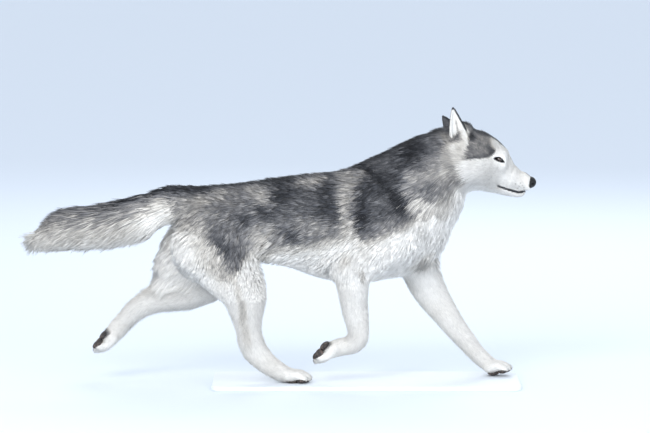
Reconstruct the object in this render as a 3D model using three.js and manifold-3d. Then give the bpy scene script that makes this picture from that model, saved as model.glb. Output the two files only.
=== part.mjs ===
// A life-size Siberian husky at a trot, on a plain display base. Millimetres, +Z up, the dog faces +X.
// The right hind paw and the left forepaw are on the base. The origin is the middle of the base's underside.
import * as THREE from "three";
import { mergeVertices } from "three/addons/utils/BufferGeometryUtils.js";
import Module from "manifold-3d";

const wasm = await Module();
wasm.setup();

// Driving dimensions
const BASE = { length: 770, width: 264, thick: 12, corner: 26, bevel: 2 };
const CUT = 0.3; // the gap that parts one piece of the body from the next
const SLIVER = 2e-3;
const FAR = 60;
const BLOCK = 5;
const EYE = { x: 331, y: 35, z: 569, r: 11.5 };
const PAW = { toeGap: 13.5, toeRadius: 10, padRadius: 13 };
const CLAW = { length: 15, radius: 3.2, bend: 0.5 };
// Long coat: how far the core lies under the tips, and each lock's size
const RUFF = { inset: 13, tiers: 4, around: 11, first: 13, apart: 25, length: 72, width: 66, thick: 12 };
const BRUSH = { tiers: 6, around: 7, first: -490, apart: -51, length: 104, width: 50, thick: 10 };
const BREECH = { inset: 8, tiers: 3, across: 3, top: 392, apart: 46, length: 62, width: 40, thick: 9 };

// Sections of the coat's outline: [x, y, z, half depth, half width]. Depth is measured in the side view.
const TRUNK = [
  [-462, 0, 458, 36, 42],
  [-428, 0, 440, 60, 68],
  [-362, 0, 424, 79, 84],
  [-299, 0, 418, 94, 84],
  [-248, 0, 416, 103, 84],
  [-188, 0, 411, 117, 90],
  [-128, 0, 403, 132, 99],
  [-65, 0, 398, 141, 104],
  [-6, 0, 402, 148, 102],
  [55, 0, 410, 147, 97],
  [101, 0, 402, 128, 86],
  [145, 0, 392, 94, 68],
  [172, 0, 386, 62, 46],
];
const NECK = [
  [12, 0, 405, 112, 84],
  [76, 0, 441, 129, 95],
  [132, 0, 486, 124, 94],
  [170, 0, 522, 115, 92],
  [201, 0, 553, 94, 86],
  [224, 0, 576, 82, 76],
  [250, 0, 590, 70, 62],
];
const SKULL = [
  [232, 0, 570, 72, 58],
  [255, 0, 572, 75, 65],
  [279, 0, 563, 73, 66],
  [307, 0, 549, 67, 60],
  [327, 0, 538, 57, 50],
  [344, 0, 529, 45, 38],
  [356, 0, 519, 36, 31],
];
const MUZZLE = [
  [335, 0, 533, 41, 36],
  [349, 0, 523, 33, 31],
  [368, 0, 516, 27, 28],
  [389, 0, 510, 25, 25],
  [406, 0, 503, 19, 20],
];
const JAW = [
  [288, 0, 517, 26, 40],
  [322, 0, 501, 20, 28],
  [352, 0, 490, 16, 21],
  [376, 0, 483, 13, 16],
  [386, 0, 482, 11, 12],
];
const TAIL = [
  [-440, 0, 455, 40, 44],
  [-470, 0, 453, 42, 42],
  [-500, 0, 451, 43, 39],
  [-520, 0, 444, 47, 38],
  [-541, 0, 432, 53, 39],
  [-564, 0, 411, 61, 41],
  [-590, 0, 401, 62, 42],
  [-665, 0, 395, 59, 44],
  [-715, 0, 392, 56, 44],
  [-765, 0, 389, 54, 42],
  [-792, 0, 384, 50, 36],
  [-816, 0, 368, 37, 25],
  [-838, 0, 346, 14, 11],
];
// What carries the long coat of the tail: bone, skin and the roots of the hair, near the top of the brush
const TAIL_CORE = [
  [-440, 0, 455, 40, 43],
  [-472, 0, 453, 40, 39],
  [-500, 0, 453, 34, 31],
  [-545, 0, 437, 31, 27],
  [-600, 0, 420, 32, 26],
  [-665, 0, 413, 31, 25],
  [-725, 0, 408, 27, 22],
  [-775, 0, 400, 16, 13],
];
const SHOULDER = {
  right: [
    [40, -58, 480, 40, 28],
    [92, -66, 392, 50, 34],
    [20, -72, 332, 44, 34],
    [-41, -70, 311, 47, 34],
  ],
  left: [
    [40, 58, 480, 40, 28],
    [112, 62, 390, 50, 34],
    [112, 66, 335, 48, 36],
    [132, 62, 304, 52, 36],
  ],
};
const FORELEG = {
  right: [
    [-41, -70, 311, 46, 33],
    [-34, -66, 258, 42, 29],
    [-31, -62, 220, 37, 25],
    [-26, -60, 183, 34, 22],
    [-20, -58, 150, 29, 21],
    [-20, -57, 125, 28, 22],
    [-32, -57, 108, 25, 20],
    [-61, -56, 102, 24, 20],
    [-84, -56, 95, 22, 23],
  ],
  left: [
    [132, 62, 304, 52, 36],
    [148, 62, 256, 48, 31],
    [169, 62, 216, 43, 27],
    [198, 61, 174, 36, 24],
    [226, 60, 135, 31, 22],
    [254, 59, 101, 27, 22],
    [276, 58, 74, 24, 22],
    [298, 57, 52, 22, 23],
    [316, 57, 39, 20, 26],
  ],
};
const THIGH = {
  right: [
    [-372, -40, 440, 66, 48],
    [-378, -54, 380, 104, 52],
    [-358, -60, 313, 106, 48],
    [-324, -63, 254, 80, 39],
    [-302, -64, 218, 58, 32],
    [-297, -63, 180, 44, 27],
    [-293, -62, 148, 36, 24],
    [-288, -60, 118, 32, 22],
  ],
  left: [
    [-372, 40, 440, 66, 48],
    [-398, 54, 375, 100, 52],
    [-424, 60, 315, 101, 48],
    [-436, 63, 272, 92, 40],
    [-432, 64, 236, 54, 34],
  ],
};
const SHANK = {
  right: [
    [-290, -60, 120, 31, 22],
    [-277, -59, 92, 34, 21],
    [-247, -58, 60, 28, 21],
    [-214, -58, 38, 24, 24],
    [-190, -58, 30, 18, 26],
  ],
  left: [
    [-398, 64, 236, 42, 34],
    [-446, 64, 224, 46, 32],
    [-492, 63, 213, 39, 27],
    [-535, 62, 203, 34, 23],
    [-574, 60, 184, 30, 21],
    [-601, 59, 158, 26, 19],
    [-626, 58, 131, 25, 21],
    [-642, 58, 113, 22, 24],
  ],
};
// Each paw: its middle, the way its toes point and the way the top of the foot faces, in the side view.
const PAWS = {
  forepaw_right: { at: [-100, -56, 84], toes: [-0.74, -0.67], top: [0.67, -0.74], flat: false },
  forepaw_left: { at: [333, 57, 34], toes: [0.995, 0.1], top: [-0.1, 0.995], flat: true },
  hindpaw_right: { at: [-172, -58, 28], toes: [1, 0], top: [0, 1], flat: true },
  hindpaw_left: { at: [-656, 58, 96], toes: [-0.72, -0.69], top: [0.69, -0.72], flat: false },
};
const EARS = {
  ear_right: { base: [233, -38, 606], tip: [215, -50, 697], open: [0.32, -0.93, 0.2] },
  ear_left: { base: [236, 38, 604], tip: [194, 60, 668], open: [0.05, 0.97, 0.2] },
};

// Adds rows between the given rows, on a smooth curve through them.
function smoothRows(rows, steps) {
  const out = [];
  rows.slice(0, -1).forEach((b, i) => {
    const a = rows[Math.max(i - 1, 0)];
    const c = rows[i + 1];
    const d = rows[Math.min(i + 2, rows.length - 1)];
    for (let j = 0; j < steps; j++) {
      const t = j / steps;
      out.push(
        b.map((q, n) => {
          const bend = 2 * a[n] - 5 * q + 4 * c[n] - d[n];
          const end = 3 * q - a[n] - 3 * c[n] + d[n];
          return q + 0.5 * t * (c[n] - a[n] + t * (bend + t * end));
        }),
      );
    }
  });
  out.push(rows.at(-1));
  return out;
}

const length3 = (x, y, z) => Math.sqrt(x * x + y * y + z * z);

// Far from a box the distance to it stands in for the field of what the box holds.
function within(low, high, field) {
  return (x, y, z) => {
    const dx = Math.max(low[0] - x, x - high[0], 0);
    const dy = Math.max(low[1] - y, y - high[1], 0);
    const dz = Math.max(low[2] - z, z - high[2], 0);
    const far = length3(dx, dy, dz);
    return far > FAR ? far : field(x, y, z);
  };
}

function boxOf(rows) {
  const low = [0, 1, 2].map((a) => Math.min(...rows.map((r) => r[a] - r[a === 1 ? 4 : 3])));
  const high = [0, 1, 2].map((a) => Math.max(...rows.map((r) => r[a] + r[a === 1 ? 4 : 3])));
  return [low, high];
}

// Distance-like fields: below 0 inside, above 0 outside, in millimetres.
// A run of oval cross-sections along a straight axis that points at an angle in the side view.
function loft(rows, angle, cap) {
  const [c, s] = [Math.cos(angle), Math.sin(angle)];
  const table = smoothRows(rows, 4).map(([x, y, z, depth, width]) => {
    return [x * c + z * s, z * c - x * s, y, depth, width];
  });
  const last = table.length - 1;
  const field = (x, y, z) => {
    const along = x * c + z * s;
    let i = 0;
    while (i < last - 1 && table[i + 1][0] < along) i++;
    const [a, b] = [table[i], table[i + 1]];
    const t = Math.min(Math.max((along - a[0]) / (b[0] - a[0]), 0), 1);
    const depth = a[3] + t * (b[3] - a[3]);
    const width = a[4] + t * (b[4] - a[4]);
    const beyond = Math.max(table[0][0] - along, along - table[last][0], 0) / cap;
    const up = (z * c - x * s - a[1] - t * (b[1] - a[1])) / depth;
    const side = (y - a[2] - t * (b[2] - a[2])) / width;
    return (length3(up, side, beyond) - 1) * Math.min(depth, width);
  };
  return within(...boxOf(rows), field);
}

// A bent limb: round-ended tapering lengths from row to row, flattened or widened across.
function limb(rows, steps = 3) {
  const spans = smoothRows(rows, steps);
  const field = (x, y, z) => {
    let least = Infinity;
    for (let i = 0; i + 1 < spans.length; i++) {
      const [ax, ay, az, ar, aw] = spans[i];
      const [bx, by, bz, br, bw] = spans[i + 1];
      const [dx, dz] = [bx - ax, bz - az];
      const reach = ((x - ax) * dx + (z - az) * dz) / (dx * dx + dz * dz);
      const t = Math.min(Math.max(reach, 0), 1);
      const r = ar + t * (br - ar);
      const side = ((y - ay - t * (by - ay)) * r) / (aw + t * (bw - aw));
      least = Math.min(least, length3(x - ax - t * dx, side, z - az - t * dz) - r);
    }
    return least;
  };
  return within(...boxOf(rows), field);
}

function ball([cx, cy, cz], [rx, ry, rz]) {
  const small = Math.min(rx, ry, rz);
  return (x, y, z) => (length3((x - cx) / rx, (y - cy) / ry, (z - cz) / rz) - 1) * small;
}

function join(a, b, blend) {
  if (blend === 0) return Math.min(a, b);
  const h = Math.max(blend - Math.abs(a - b), 0) / blend;
  return Math.min(a, b) - (h * h * blend) / 4;
}

const carve = (a, b, blend) => -join(-a, b, blend);

// The field's values on the points of a box's grid. Blocks that lie far from the surface get one value.
function sample(field, low, n, cell) {
  const at = (i, j, k) => i + n[0] * (j + n[1] * k);
  const value = new Float32Array(n[0] * n[1] * n[2]);
  const blocks = n.map((v) => Math.ceil(v / BLOCK));
  for (let block = 0; block < blocks[0] * blocks[1] * blocks[2]; block++) {
    const start = [
      block % blocks[0],
      Math.floor(block / blocks[0]) % blocks[1],
      Math.floor(block / (blocks[0] * blocks[1])),
    ].map((v) => v * BLOCK);
    const end = start.map((v, a) => Math.min(v + BLOCK, n[a]));
    const middle = field(...start.map((v, a) => low[a] + (v + BLOCK / 2) * cell));
    const far = Math.abs(middle) > 1.7 * BLOCK * cell;
    for (let k = start[2]; k < end[2]; k++)
      for (let j = start[1]; j < end[1]; j++)
        for (let i = start[0]; i < end[0]; i++) {
          const f = far ? middle : field(low[0] + i * cell, low[1] + j * cell, low[2] + k * cell);
          const rim = i * j * k === 0 || i === n[0] - 1 || j === n[1] - 1 || k === n[2] - 1;
          value[at(i, j, k)] = rim ? Math.max(f, cell / 2) : f;
        }
  }
  return value;
}

// Where a grid square has its inside corners only across from each other, one more corner goes inside.
function settle(value, n, cell) {
  const step = [1, n[0], n[0] * n[1]];
  for (let changed = true; changed; ) {
    changed = false;
    for (const [u, v] of [[1, n[0]], [n[0], step[2]], [1, step[2]]])
      for (let p = 0; p + u + v < value.length; p++) {
        const [a, b, c, d] = [value[p] < 0, value[p + u] < 0, value[p + v] < 0, value[p + u + v] < 0];
        if (a !== d || b !== c || a === b) continue;
        const pair = a ? [p + u, p + v] : [p, p + u + v];
        value[value[pair[0]] < value[pair[1]] ? pair[0] : pair[1]] = -0.05 * cell;
        changed = true;
      }
  }
}

// The surface where a field is 0, inside a box, as a closed mesh of small triangles.
function wrap(field, [low, high], cell) {
  const n = low.map((v, a) => Math.ceil((high[a] - v) / cell) + 1);
  const at = (i, j, k) => i + n[0] * (j + n[1] * k);
  const value = sample(field, low, n, cell);
  settle(value, n, cell);
  const corners = [0, 1, 2, 3, 4, 5, 6, 7].map((m) => [m & 1, (m >> 1) & 1, m >> 2]);
  const shift = corners.map(([i, j, k]) => at(i, j, k));
  const edges = corners.flatMap((_, p) =>
    corners.flatMap((_, q) => (q > p && [1, 2, 4].includes(p ^ q) ? [[p, q]] : [])),
  );
  const own = new Int32Array(value.length).fill(-1);
  const points = [];
  for (let k = 0; k < n[2] - 1; k++)
    for (let j = 0; j < n[1] - 1; j++)
      for (let i = 0; i < n[0] - 1; i++) {
        const here = at(i, j, k);
        let inside = 0;
        for (const s of shift) inside += value[here + s] < 0;
        if (inside === 0 || inside === 8) continue;
        const sum = [0, 0, 0];
        let hits = 0;
        for (const [p, q] of edges) {
          const [va, vb] = [value[here + shift[p]], value[here + shift[q]]];
          if (va < 0 === vb < 0) continue;
          const t = va / (va - vb);
          for (let d = 0; d < 3; d++) sum[d] += corners[p][d] + t * (corners[q][d] - corners[p][d]);
          hits++;
        }
        own[here] = points.length;
        points.push([i, j, k].map((v, d) => low[d] + (v + sum[d] / hits) * cell));
      }
  const faces = [];
  const steps = [1, n[0], n[0] * n[1]];
  for (let k = 0; k < n[2] - 1; k++)
    for (let j = 0; j < n[1] - 1; j++)
      for (let i = 0; i < n[0] - 1; i++)
        for (let axis = 0; axis < 3; axis++) {
          const here = at(i, j, k);
          const inside = value[here] < 0;
          if (inside === value[here + steps[axis]] < 0) continue;
          const [u, v] = [steps[(axis + 1) % 3], steps[(axis + 2) % 3]];
          const near = [own[here], own[here - u], own[here - u - v], own[here - v]];
          if (!inside) near.reverse();
          faces.push([near[0], near[1], near[2]], [near[0], near[2], near[3]]);
        }
  return { points, faces };
}

// Takes edges out of a closed mesh, the flattest first, until it has the wanted number of triangles.
function thin({ points, faces }, wanted) {
  const around = points.map(() => new Set());
  faces.forEach((f, n) => f.forEach((v) => around[v].add(n)));
  const alive = faces.map(() => true);
  let count = faces.length;
  const minus = (a, b) => [a[0] - b[0], a[1] - b[1], a[2] - b[2]];
  const cross = (a, b) => [
    a[1] * b[2] - a[2] * b[1],
    a[2] * b[0] - a[0] * b[2],
    a[0] * b[1] - a[1] * b[0],
  ];
  const dot = (a, b) => a[0] * b[0] + a[1] * b[1] + a[2] * b[2];
  const normalOf = (a, b, c) => cross(minus(b, a), minus(c, a));
  const error = points.map(() => new Float64Array(10));
  for (const f of faces) {
    const [a, b, c] = f.map((v) => points[v]);
    const raw = normalOf(a, b, c);
    const area = length3(...raw) || 1e-12;
    const [x, y, z] = raw.map((v) => v / area);
    const w = -dot([x, y, z], a);
    const terms = [x * x, x * y, x * z, x * w, y * y, y * z, y * w, z * z, z * w, w * w];
    for (const v of f) terms.forEach((t, i) => (error[v][i] += (t * area) / 2));
  }
  const costAt = (q, [x, y, z]) =>
    x * (q[0] * x + 2 * (q[1] * y + q[2] * z + q[3])) +
    y * (q[4] * y + 2 * (q[5] * z + q[6])) +
    z * (q[7] * z + 2 * q[8]) +
    q[9];
  const spot = (a, b) => {
    const q = error[a].map((v, i) => v + error[b][i]);
    const [r0, r1, r2] = [[q[0], q[1], q[2]], [q[1], q[4], q[5]], [q[2], q[5], q[7]]];
    const det = dot(r0, cross(r1, r2));
    const size = (q[0] + q[4] + q[7]) / 3;
    const middle = points[a].map((v, i) => (v + points[b][i]) / 2);
    const tries = [points[a], points[b], middle];
    if (Math.abs(det) > 1e-4 * size ** 3) {
      const d = [-q[3], -q[6], -q[8]];
      const best = [dot(d, cross(r1, r2)), dot(r0, cross(d, r2)), dot(r0, cross(r1, d))];
      const columns = best.map((v) => v / det);
      if (length3(...minus(columns, middle)) < 2 * length3(...minus(points[a], points[b])))
        tries.push(columns);
    }
    const costs = tries.map((p) => costAt(q, p));
    const least = costs.indexOf(Math.min(...costs));
    return { q, p: tries[least], cost: Math.max(costs[least], 0) };
  };
  const version = new Int32Array(points.length);
  const heap = [];
  const push = (item) => {
    let i = heap.push(item) - 1;
    while (i > 0 && heap[(i - 1) >> 1].cost > item.cost) {
      heap[i] = heap[(i - 1) >> 1];
      i = (i - 1) >> 1;
    }
    heap[i] = item;
  };
  const pop = () => {
    const top = heap[0];
    const item = heap.pop();
    if (!heap.length) return top;
    let i = 0;
    for (;;) {
      let c = 2 * i + 1;
      if (c >= heap.length) break;
      if (c + 1 < heap.length && heap[c + 1].cost < heap[c].cost) c++;
      if (heap[c].cost >= item.cost) break;
      heap[i] = heap[c];
      i = c;
    }
    heap[i] = item;
    return top;
  };
  const offer = (a, b) => {
    const { cost } = spot(a, b);
    const length = length3(...minus(points[a], points[b]));
    push({ cost: cost + 1e-5 * length * length, a, b, va: version[a], vb: version[b] });
  };
  const nextTo = (v) => {
    const out = new Set();
    for (const n of around[v]) faces[n].forEach((w) => w !== v && out.add(w));
    return out;
  };
  const flips = (v, other, p) => {
    for (const n of around[v]) {
      const f = faces[n];
      if (f.includes(other)) continue;
      const before = normalOf(...f.map((w) => points[w]));
      const after = normalOf(...f.map((w) => (w === v ? p : points[w])));
      const size = length3(...after);
      const earlier = length3(...before);
      if (earlier > SLIVER && (size < SLIVER || dot(before, after) < 0.2 * earlier * size)) return true;
    }
    return false;
  };
  faces.forEach((f) => f.forEach((v, i) => v < f[(i + 1) % 3] && offer(v, f[(i + 1) % 3])));
  while (count > wanted && heap.length) {
    const { a, b, va, vb } = pop();
    if (version[a] !== va || version[b] !== vb) continue;
    const { q, p } = spot(a, b);
    const [na, nb] = [nextTo(a), nextTo(b)];
    if ([...na].filter((v) => nb.has(v)).length !== 2) continue;
    if (flips(a, b, p) || flips(b, a, p)) continue;
    points[a] = p;
    error[a] = q;
    for (const n of [...around[b]]) {
      if (faces[n].includes(a)) {
        alive[n] = false;
        count--;
        faces[n].forEach((v) => around[v].delete(n));
      } else {
        faces[n] = faces[n].map((v) => (v === b ? a : v));
        around[a].add(n);
      }
    }
    around[b].clear();
    version[b]++;
    version[a]++;
    nextTo(a).forEach((v) => offer(a, v));
  }
  return { points, faces: faces.filter((_, n) => alive[n]) };
}

// Meshes and solids
function solidOf({ points, faces }) {
  const mesh = { numProp: 3, vertProperties: new Float32Array(points.flat()) };
  return new wasm.Manifold(new wasm.Mesh({ ...mesh, triVerts: new Uint32Array(faces.flat()) }));
}

function solidOfGeometry(source) {
  const g = source.clone();
  for (const name of ["normal", "uv"]) g.deleteAttribute(name);
  const merged = mergeVertices(g, 1e-4);
  const vertProperties = new Float32Array(merged.attributes.position.array);
  const triVerts = new Uint32Array(merged.index.array);
  return new wasm.Manifold(new wasm.Mesh({ numProp: 3, vertProperties, triVerts }));
}

function meshOf(solid) {
  const { vertProperties, triVerts, numProp } = solid.getMesh();
  const points = [];
  for (let i = 0; i < vertProperties.length; i += numProp)
    points.push([...vertProperties.subarray(i, i + 3)]);
  const faces = [];
  for (let i = 0; i < triVerts.length; i += 3) faces.push([...triVerts.subarray(i, i + 3)]);
  return { points, faces };
}

const largest = (solid) => solid.decompose().sort((a, b) => b.volume() - a.volume())[0];

function geometryOf(solid) {
  const { points, faces } = meshOf(solid);
  const g = new THREE.BufferGeometry();
  g.setAttribute("position", new THREE.Float32BufferAttribute(points.flat(), 3));
  g.setIndex(faces.flat());
  const merged = mergeVertices(g, 2e-3);
  merged.computeVertexNormals();
  return merged;
}

// A block between two corners, cut by planes: each keeps the side that its normal points to.
function block([low, high], planes, grow) {
  const size = low.map((v, a) => high[a] - v + 2 * grow);
  const g = new THREE.BoxGeometry(...size);
  g.translate(...low.map((v, a) => (v + high[a]) / 2));
  return planes.reduce((solid, { through, normal }) => {
    const n = new THREE.Vector3(...normal).normalize();
    return solid.trimByPlane(n.toArray(), n.dot(new THREE.Vector3(...through)) - grow);
  }, solidOfGeometry(g));
}

const facing = (plane, side) => ({ ...plane, normal: plane.normal.map((v) => v * side) });

// Where the body is parted, each plane facing away from the trunk
const NAPE = { through: [222, 0, 551], normal: [0.949, 0, 0.316] };
const WITHERS = { through: [120, 0, 466], normal: [0.782, 0, 0.623] };
const DOCK = { through: [-468, 0, 420], normal: [-1, 0, 0.25] };
const NOSE_BACK = { through: [407, 0, 510], normal: [0.97, 0, -0.24] };
const sided = (side, [x, y, z], [nx, ny, nz]) => ({
  through: [x, y * side, z],
  normal: [nx, ny * side, nz],
});
const ARMPIT = (side) => sided(side, [0, 35, 252], [0, 0.7, -0.7]);
const GROIN = (side) => sided(side, [0, 20, 302], [0, 0.74, -0.67]);
const PASTERN = {
  right: { through: [-66, 0, 100], normal: [-0.95, 0, -0.3] },
  left: { through: [290, 0, 60], normal: [0.62, 0, -0.78] },
};
const STIFLE = {
  right: { through: [-300, 0, 222], normal: [0, 0, -1] },
  left: { through: [-483, 0, 210], normal: [-0.65, 0, -0.76] },
};
const HOCK = {
  right: { through: [-243, 0, 58], normal: [0.74, 0, -0.67] },
  left: { through: [-634, 0, 122], normal: [-0.68, 0, -0.73] },
};
const EAR_ROOT = (side) => sided(side, [236, 38, 623], [-0.15, 0.5, 0.85]);

const DOWN = -Math.PI / 2;
const NECK_PITCH = 0.61;
const HEAD_PITCH = -0.42;

const trunk = loft(TRUNK, 0, 30);
const neck = loft(NECK, NECK_PITCH, 40);
const skull = loft(SKULL, HEAD_PITCH, 24);
const muzzle = loft(MUZZLE, HEAD_PITCH, 10);
const jaw = limb(JAW);
const tail = loft(TAIL, Math.PI, 8);
const tailCore = limb(TAIL_CORE);
const SIDES = [["right", -1], ["left", 1]];

// The ear: a tapering cone, hollowed from the side that it opens to.
function ear({ base, tip, open }) {
  const at = (t, push, side) => base.map((v, a) => v + t * (tip[a] - v) + push * open[a] + side[a]);
  const spine = [0, 0, 0];
  const shell = [
    [...at(-0.12, 0, spine), 24, 20],
    [...at(0.35, 0, spine), 22, 18],
    [...at(0.75, 0, spine), 12, 10],
    [...at(1, 0, spine), 4, 4],
  ];
  const hollow = [
    [...at(0, 17, spine), 21, 15],
    [...at(0.38, 14, spine), 19, 13],
    [...at(0.78, 8, spine), 9, 7],
    [...at(0.93, 5, spine), 3, 3],
  ];
  const [outer, inner] = [limb(shell), limb(hollow)];
  return (x, y, z) => carve(outer(x, y, z), inner(x, y, z), 2);
}

const legFields = SIDES.flatMap(([name]) => [
  [limb(SHOULDER[name]), 34],
  [limb(FORELEG[name]), 12],
  [loft(THIGH[name], DOWN, 26), 30],
  [limb(SHANK[name]), 12],
]);

const face = SIDES.flatMap(([, side]) => [
  [ball([262, 42 * side, 546], [36, 26, 38]), 22],
  [limb([[332, 38 * side, 556, 12, 10], [286, 55 * side, 566, 15, 12]]), 18],
  [ball([336, 22 * side, 584], [17, 13, 11]), 16],
  [ball([250, 26 * side, 638], [21, 18, 23]), 14],
]);

// The paw: four toes, a main pad and four toe pads.
function toes({ at, toes: [tx, tz], top: [ux, uz] }) {
  const place = (forward, across, up) => [
    at[0] + forward * tx + up * ux,
    at[1] + across,
    at[2] + forward * tz + up * uz,
  ];
  return [-1.5, -0.5, 0.5, 1.5].map((n) => {
    const outer = Math.abs(n) > 1;
    const across = n * PAW.toeGap * (outer ? 0.9 : 0.95);
    const reach = outer ? -9 : 0;
    return { place, across, reach };
  });
}

function pawField(paw) {
  const list = toes(paw).map(({ place, across, reach }) => [
    limb([
      [...place(-14 + reach, across * 0.8, 3), 13, 11],
      [...place(8 + reach, across, 5), 11.5, PAW.toeRadius],
      [...place(24 + reach, across * 1.05, -4), 10, PAW.toeRadius - 1],
    ], 2),
    3,
  ]);
  const { place } = toes(paw)[0];
  list.push([ball(place(-12, 0, -9), [PAW.padRadius, PAW.padRadius + 4, PAW.padRadius - 4]), 3]);
  return list;
}

const pawFields = Object.values(PAWS).flatMap(pawField);

function bodyField(parts) {
  return (x, y, z) => parts.reduce((f, [part, blend]) => join(f, part(x, y, z), blend), Infinity);
}

const tailless = [[trunk, 0], [neck, 46], [skull, 26], ...legFields];
const wholeBody = bodyField([...tailless, [tail, 22]]);
const brushCore = bodyField([...tailless, [tailCore, 22]]);
const headParts = bodyField([
  [skull, 0],
  [neck, 26],
  [jaw, 12],
  [muzzle, 10],
  ...face,
]);
const nosePad = ball([409, 0, 509], [15, 16, 14.5]);
const eyes = SIDES.map(([, side]) => [EYE.x, EYE.y * side, EYE.z]);
const sockets = eyes.map(([x, y, z]) => ball([x, y, z], Array(3).fill(EYE.r + 0.7)));
const slits = eyes.map(([x, y, z]) => {
  const side = Math.sign(y);
  return limb([[x - 14, y + 2 * side, z + 4, 2.5, 8], [x, y + 7 * side, z + 0.5, 7.2, 14], [x + 12, y, z - 4.5, 3, 9]], 3);
});
const lids = eyes.map(([x, y, z]) => ball([x, y + Math.sign(y), z], Array(3).fill(EYE.r + 3.2)));
const nostrils = [-1, 1].map((side) => ball([416, 7 * side, 512], [5, 3.6, 3.4]));
const MOUTH = { corner: 327, front: 405, gap: 1.5, deep: 5 };
const mouthHeight = (x) => 485 + 17 * Math.max(0, (380 - x) / 53) ** 1.15 + 0.006 * Math.max(0, x - 378) ** 2;

function headField(x, y, z) {
  let f = join(headParts(x, y, z), nosePad(x, y, z), 3);
  const raw = f;
  lids.forEach((lid) => (f = join(f, lid(x, y, z), 5)));
  sockets.forEach((socket) => (f = carve(f, socket(x, y, z), 0.5)));
  slits.forEach((slit) => (f = carve(f, slit(x, y, z), 1.5)));
  const line = Math.max(
    Math.abs(z - mouthHeight(x)) - MOUTH.gap,
    MOUTH.corner - x,
    x - MOUTH.front,
    -raw - MOUTH.deep,
  );
  f = carve(f, line, 1);
  nostrils.forEach((nostril) => (f = carve(f, nostril(x, y, z), 1)));
  return f;
}

const earFields = Object.fromEntries(Object.entries(EARS).map(([name, e]) => [name, ear(e)]));
const headWithEars = (x, y, z) =>
  Object.values(earFields).reduce((f, e) => join(f, e(x, y, z), 8), headField(x, y, z));
const legsWithPaws = (() => {
  const paws = bodyField(pawFields);
  return (x, y, z) => join(wholeBody(x, y, z), paws(x, y, z), 8);
})();

// Long coat lies over a core that is smaller than the outline, but not where it meets its neighbours.
const beyondPlane = ({ through, normal }, x, y, z) => {
  const size = length3(...normal);
  return ((x - through[0]) * normal[0] + (y - through[1]) * normal[1] + (z - through[2]) * normal[2]) / size;
};
const ruffCore = (x, y, z) => {
  const room = Math.min(beyondPlane(WITHERS, x, y, z), -beyondPlane(NAPE, x, y, z));
  return wholeBody(x, y, z) + RUFF.inset * THREE.MathUtils.smoothstep(room, 0, 30);
};
const breechCore = (edge) => (x, y, z) => {
  const back = THREE.MathUtils.smoothstep(edge - x, 0, 50);
  const room = THREE.MathUtils.smoothstep(z, 215, 260) * (1 - THREE.MathUtils.smoothstep(z, 360, 400));
  return wholeBody(x, y, z) + BREECH.inset * back * room;
};

// Nodes
const FLOOR = { through: [0, 0, BASE.thick + CUT / 2], normal: [0, 0, 1] };
const regions = {};
function region(name, box, planes, without = []) {
  regions[name] = { box, planes, without };
}
region("neck", [[-60, -160, 250], [330, 160, 720]], [WITHERS, facing(NAPE, -1)]);
region(
  "head",
  [[150, -110, 440], [440, 110, 660]],
  [NAPE, facing(NOSE_BACK, -1)],
  ["ear_right", "ear_left"],
);
region("nose", [[385, -40, 470], [440, 40, 545]], [NOSE_BACK]);
region("ear_right", [[190, -120, 590], [266, -14, 730]], [EAR_ROOT(-1), NAPE]);
region("ear_left", [[170, 14, 590], [266, 120, 720]], [EAR_ROOT(1), NAPE]);
region("tail", [[-870, -80, 310], [-440, 80, 530]], [DOCK]);
for (const [name, side] of SIDES) {
  const flat = (x0, x1, z0, z1) => [[x0, side < 0 ? -140 : 4, z0], [x1, side < 0 ? -4 : 140, z1]];
  const fore = side < 0 ? [-130, 70] : [60, 420];
  region(`foreleg_${name}`, flat(...fore, -5, 345), [ARMPIT(side), facing(PASTERN[name], -1)]);
  region(`forepaw_${name}`, flat(side < 0 ? -150 : 250, side < 0 ? -40 : 420, -5, 150), [PASTERN[name], FLOOR]);
  region(`thigh_${name}`, flat(-560, -232, 160, 410), [GROIN(side), facing(STIFLE[name], -1)]);
  region(`shank_${name}`, flat(side < 0 ? -400 : -660, side < 0 ? -200 : -400, -5, 300), [STIFLE[name], facing(HOCK[name], -1)]);
  region(`hindpaw_${name}`, flat(side < 0 ? -270 : -720, side < 0 ? -110 : -600, -5, 150), [HOCK[name], FLOOR]);
}

const MARGIN = 12;
const blockOf = (name, grow) => block(regions[name].box, regions[name].planes, grow);
function nodeSolid(name, field, cell, triangles) {
  const { box, without } = regions[name];
  const roomy = [box[0].map((v) => v - MARGIN), box[1].map((v) => v + MARGIN)];
  const whole = solidOf(wrap(field, roomy, cell)).intersect(blockOf(name, -CUT / 2));
  const piece = without.reduce((solid, other) => solid.subtract(blockOf(other, CUT / 2)), whole);
  return largest(solidOf(thin(meshOf(largest(piece)), triangles)));
}

function torsoSolid() {
  const cutters = Object.keys(regions).filter((name) => /neck|tail|foreleg|thigh/.test(name));
  const whole = solidOf(wrap(wholeBody, [[-520, -130, 200], [240, 130, 640]], 8));
  const trimmed = cutters.reduce((solid, name) => solid.subtract(blockOf(name, CUT / 2)), whole);
  return largest(solidOf(thin(meshOf(largest(trimmed)), 1300)));
}

// Locks
let seed = 4711;
function random(low, high) {
  seed = (seed * 1664525 + 1013904223) % 4294967296;
  return low + ((high - low) * seed) / 4294967296;
}

function normalAt(field, p) {
  const step = 1.5;
  const [x, y, z] = p.toArray();
  return new THREE.Vector3(
    field(x + step, y, z) - field(x - step, y, z),
    field(x, y + step, z) - field(x, y - step, z),
    field(x, y, z + step) - field(x, y, z - step),
  ).normalize();
}

// Moves a point to a height over a surface, and gives the surface's normal there.
function lift(field, p, height) {
  for (let n = 0; n < 4; n++) {
    const off = height - field(...p.toArray());
    p.addScaledVector(normalAt(field, p), off);
  }
  return normalAt(field, p);
}

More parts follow.
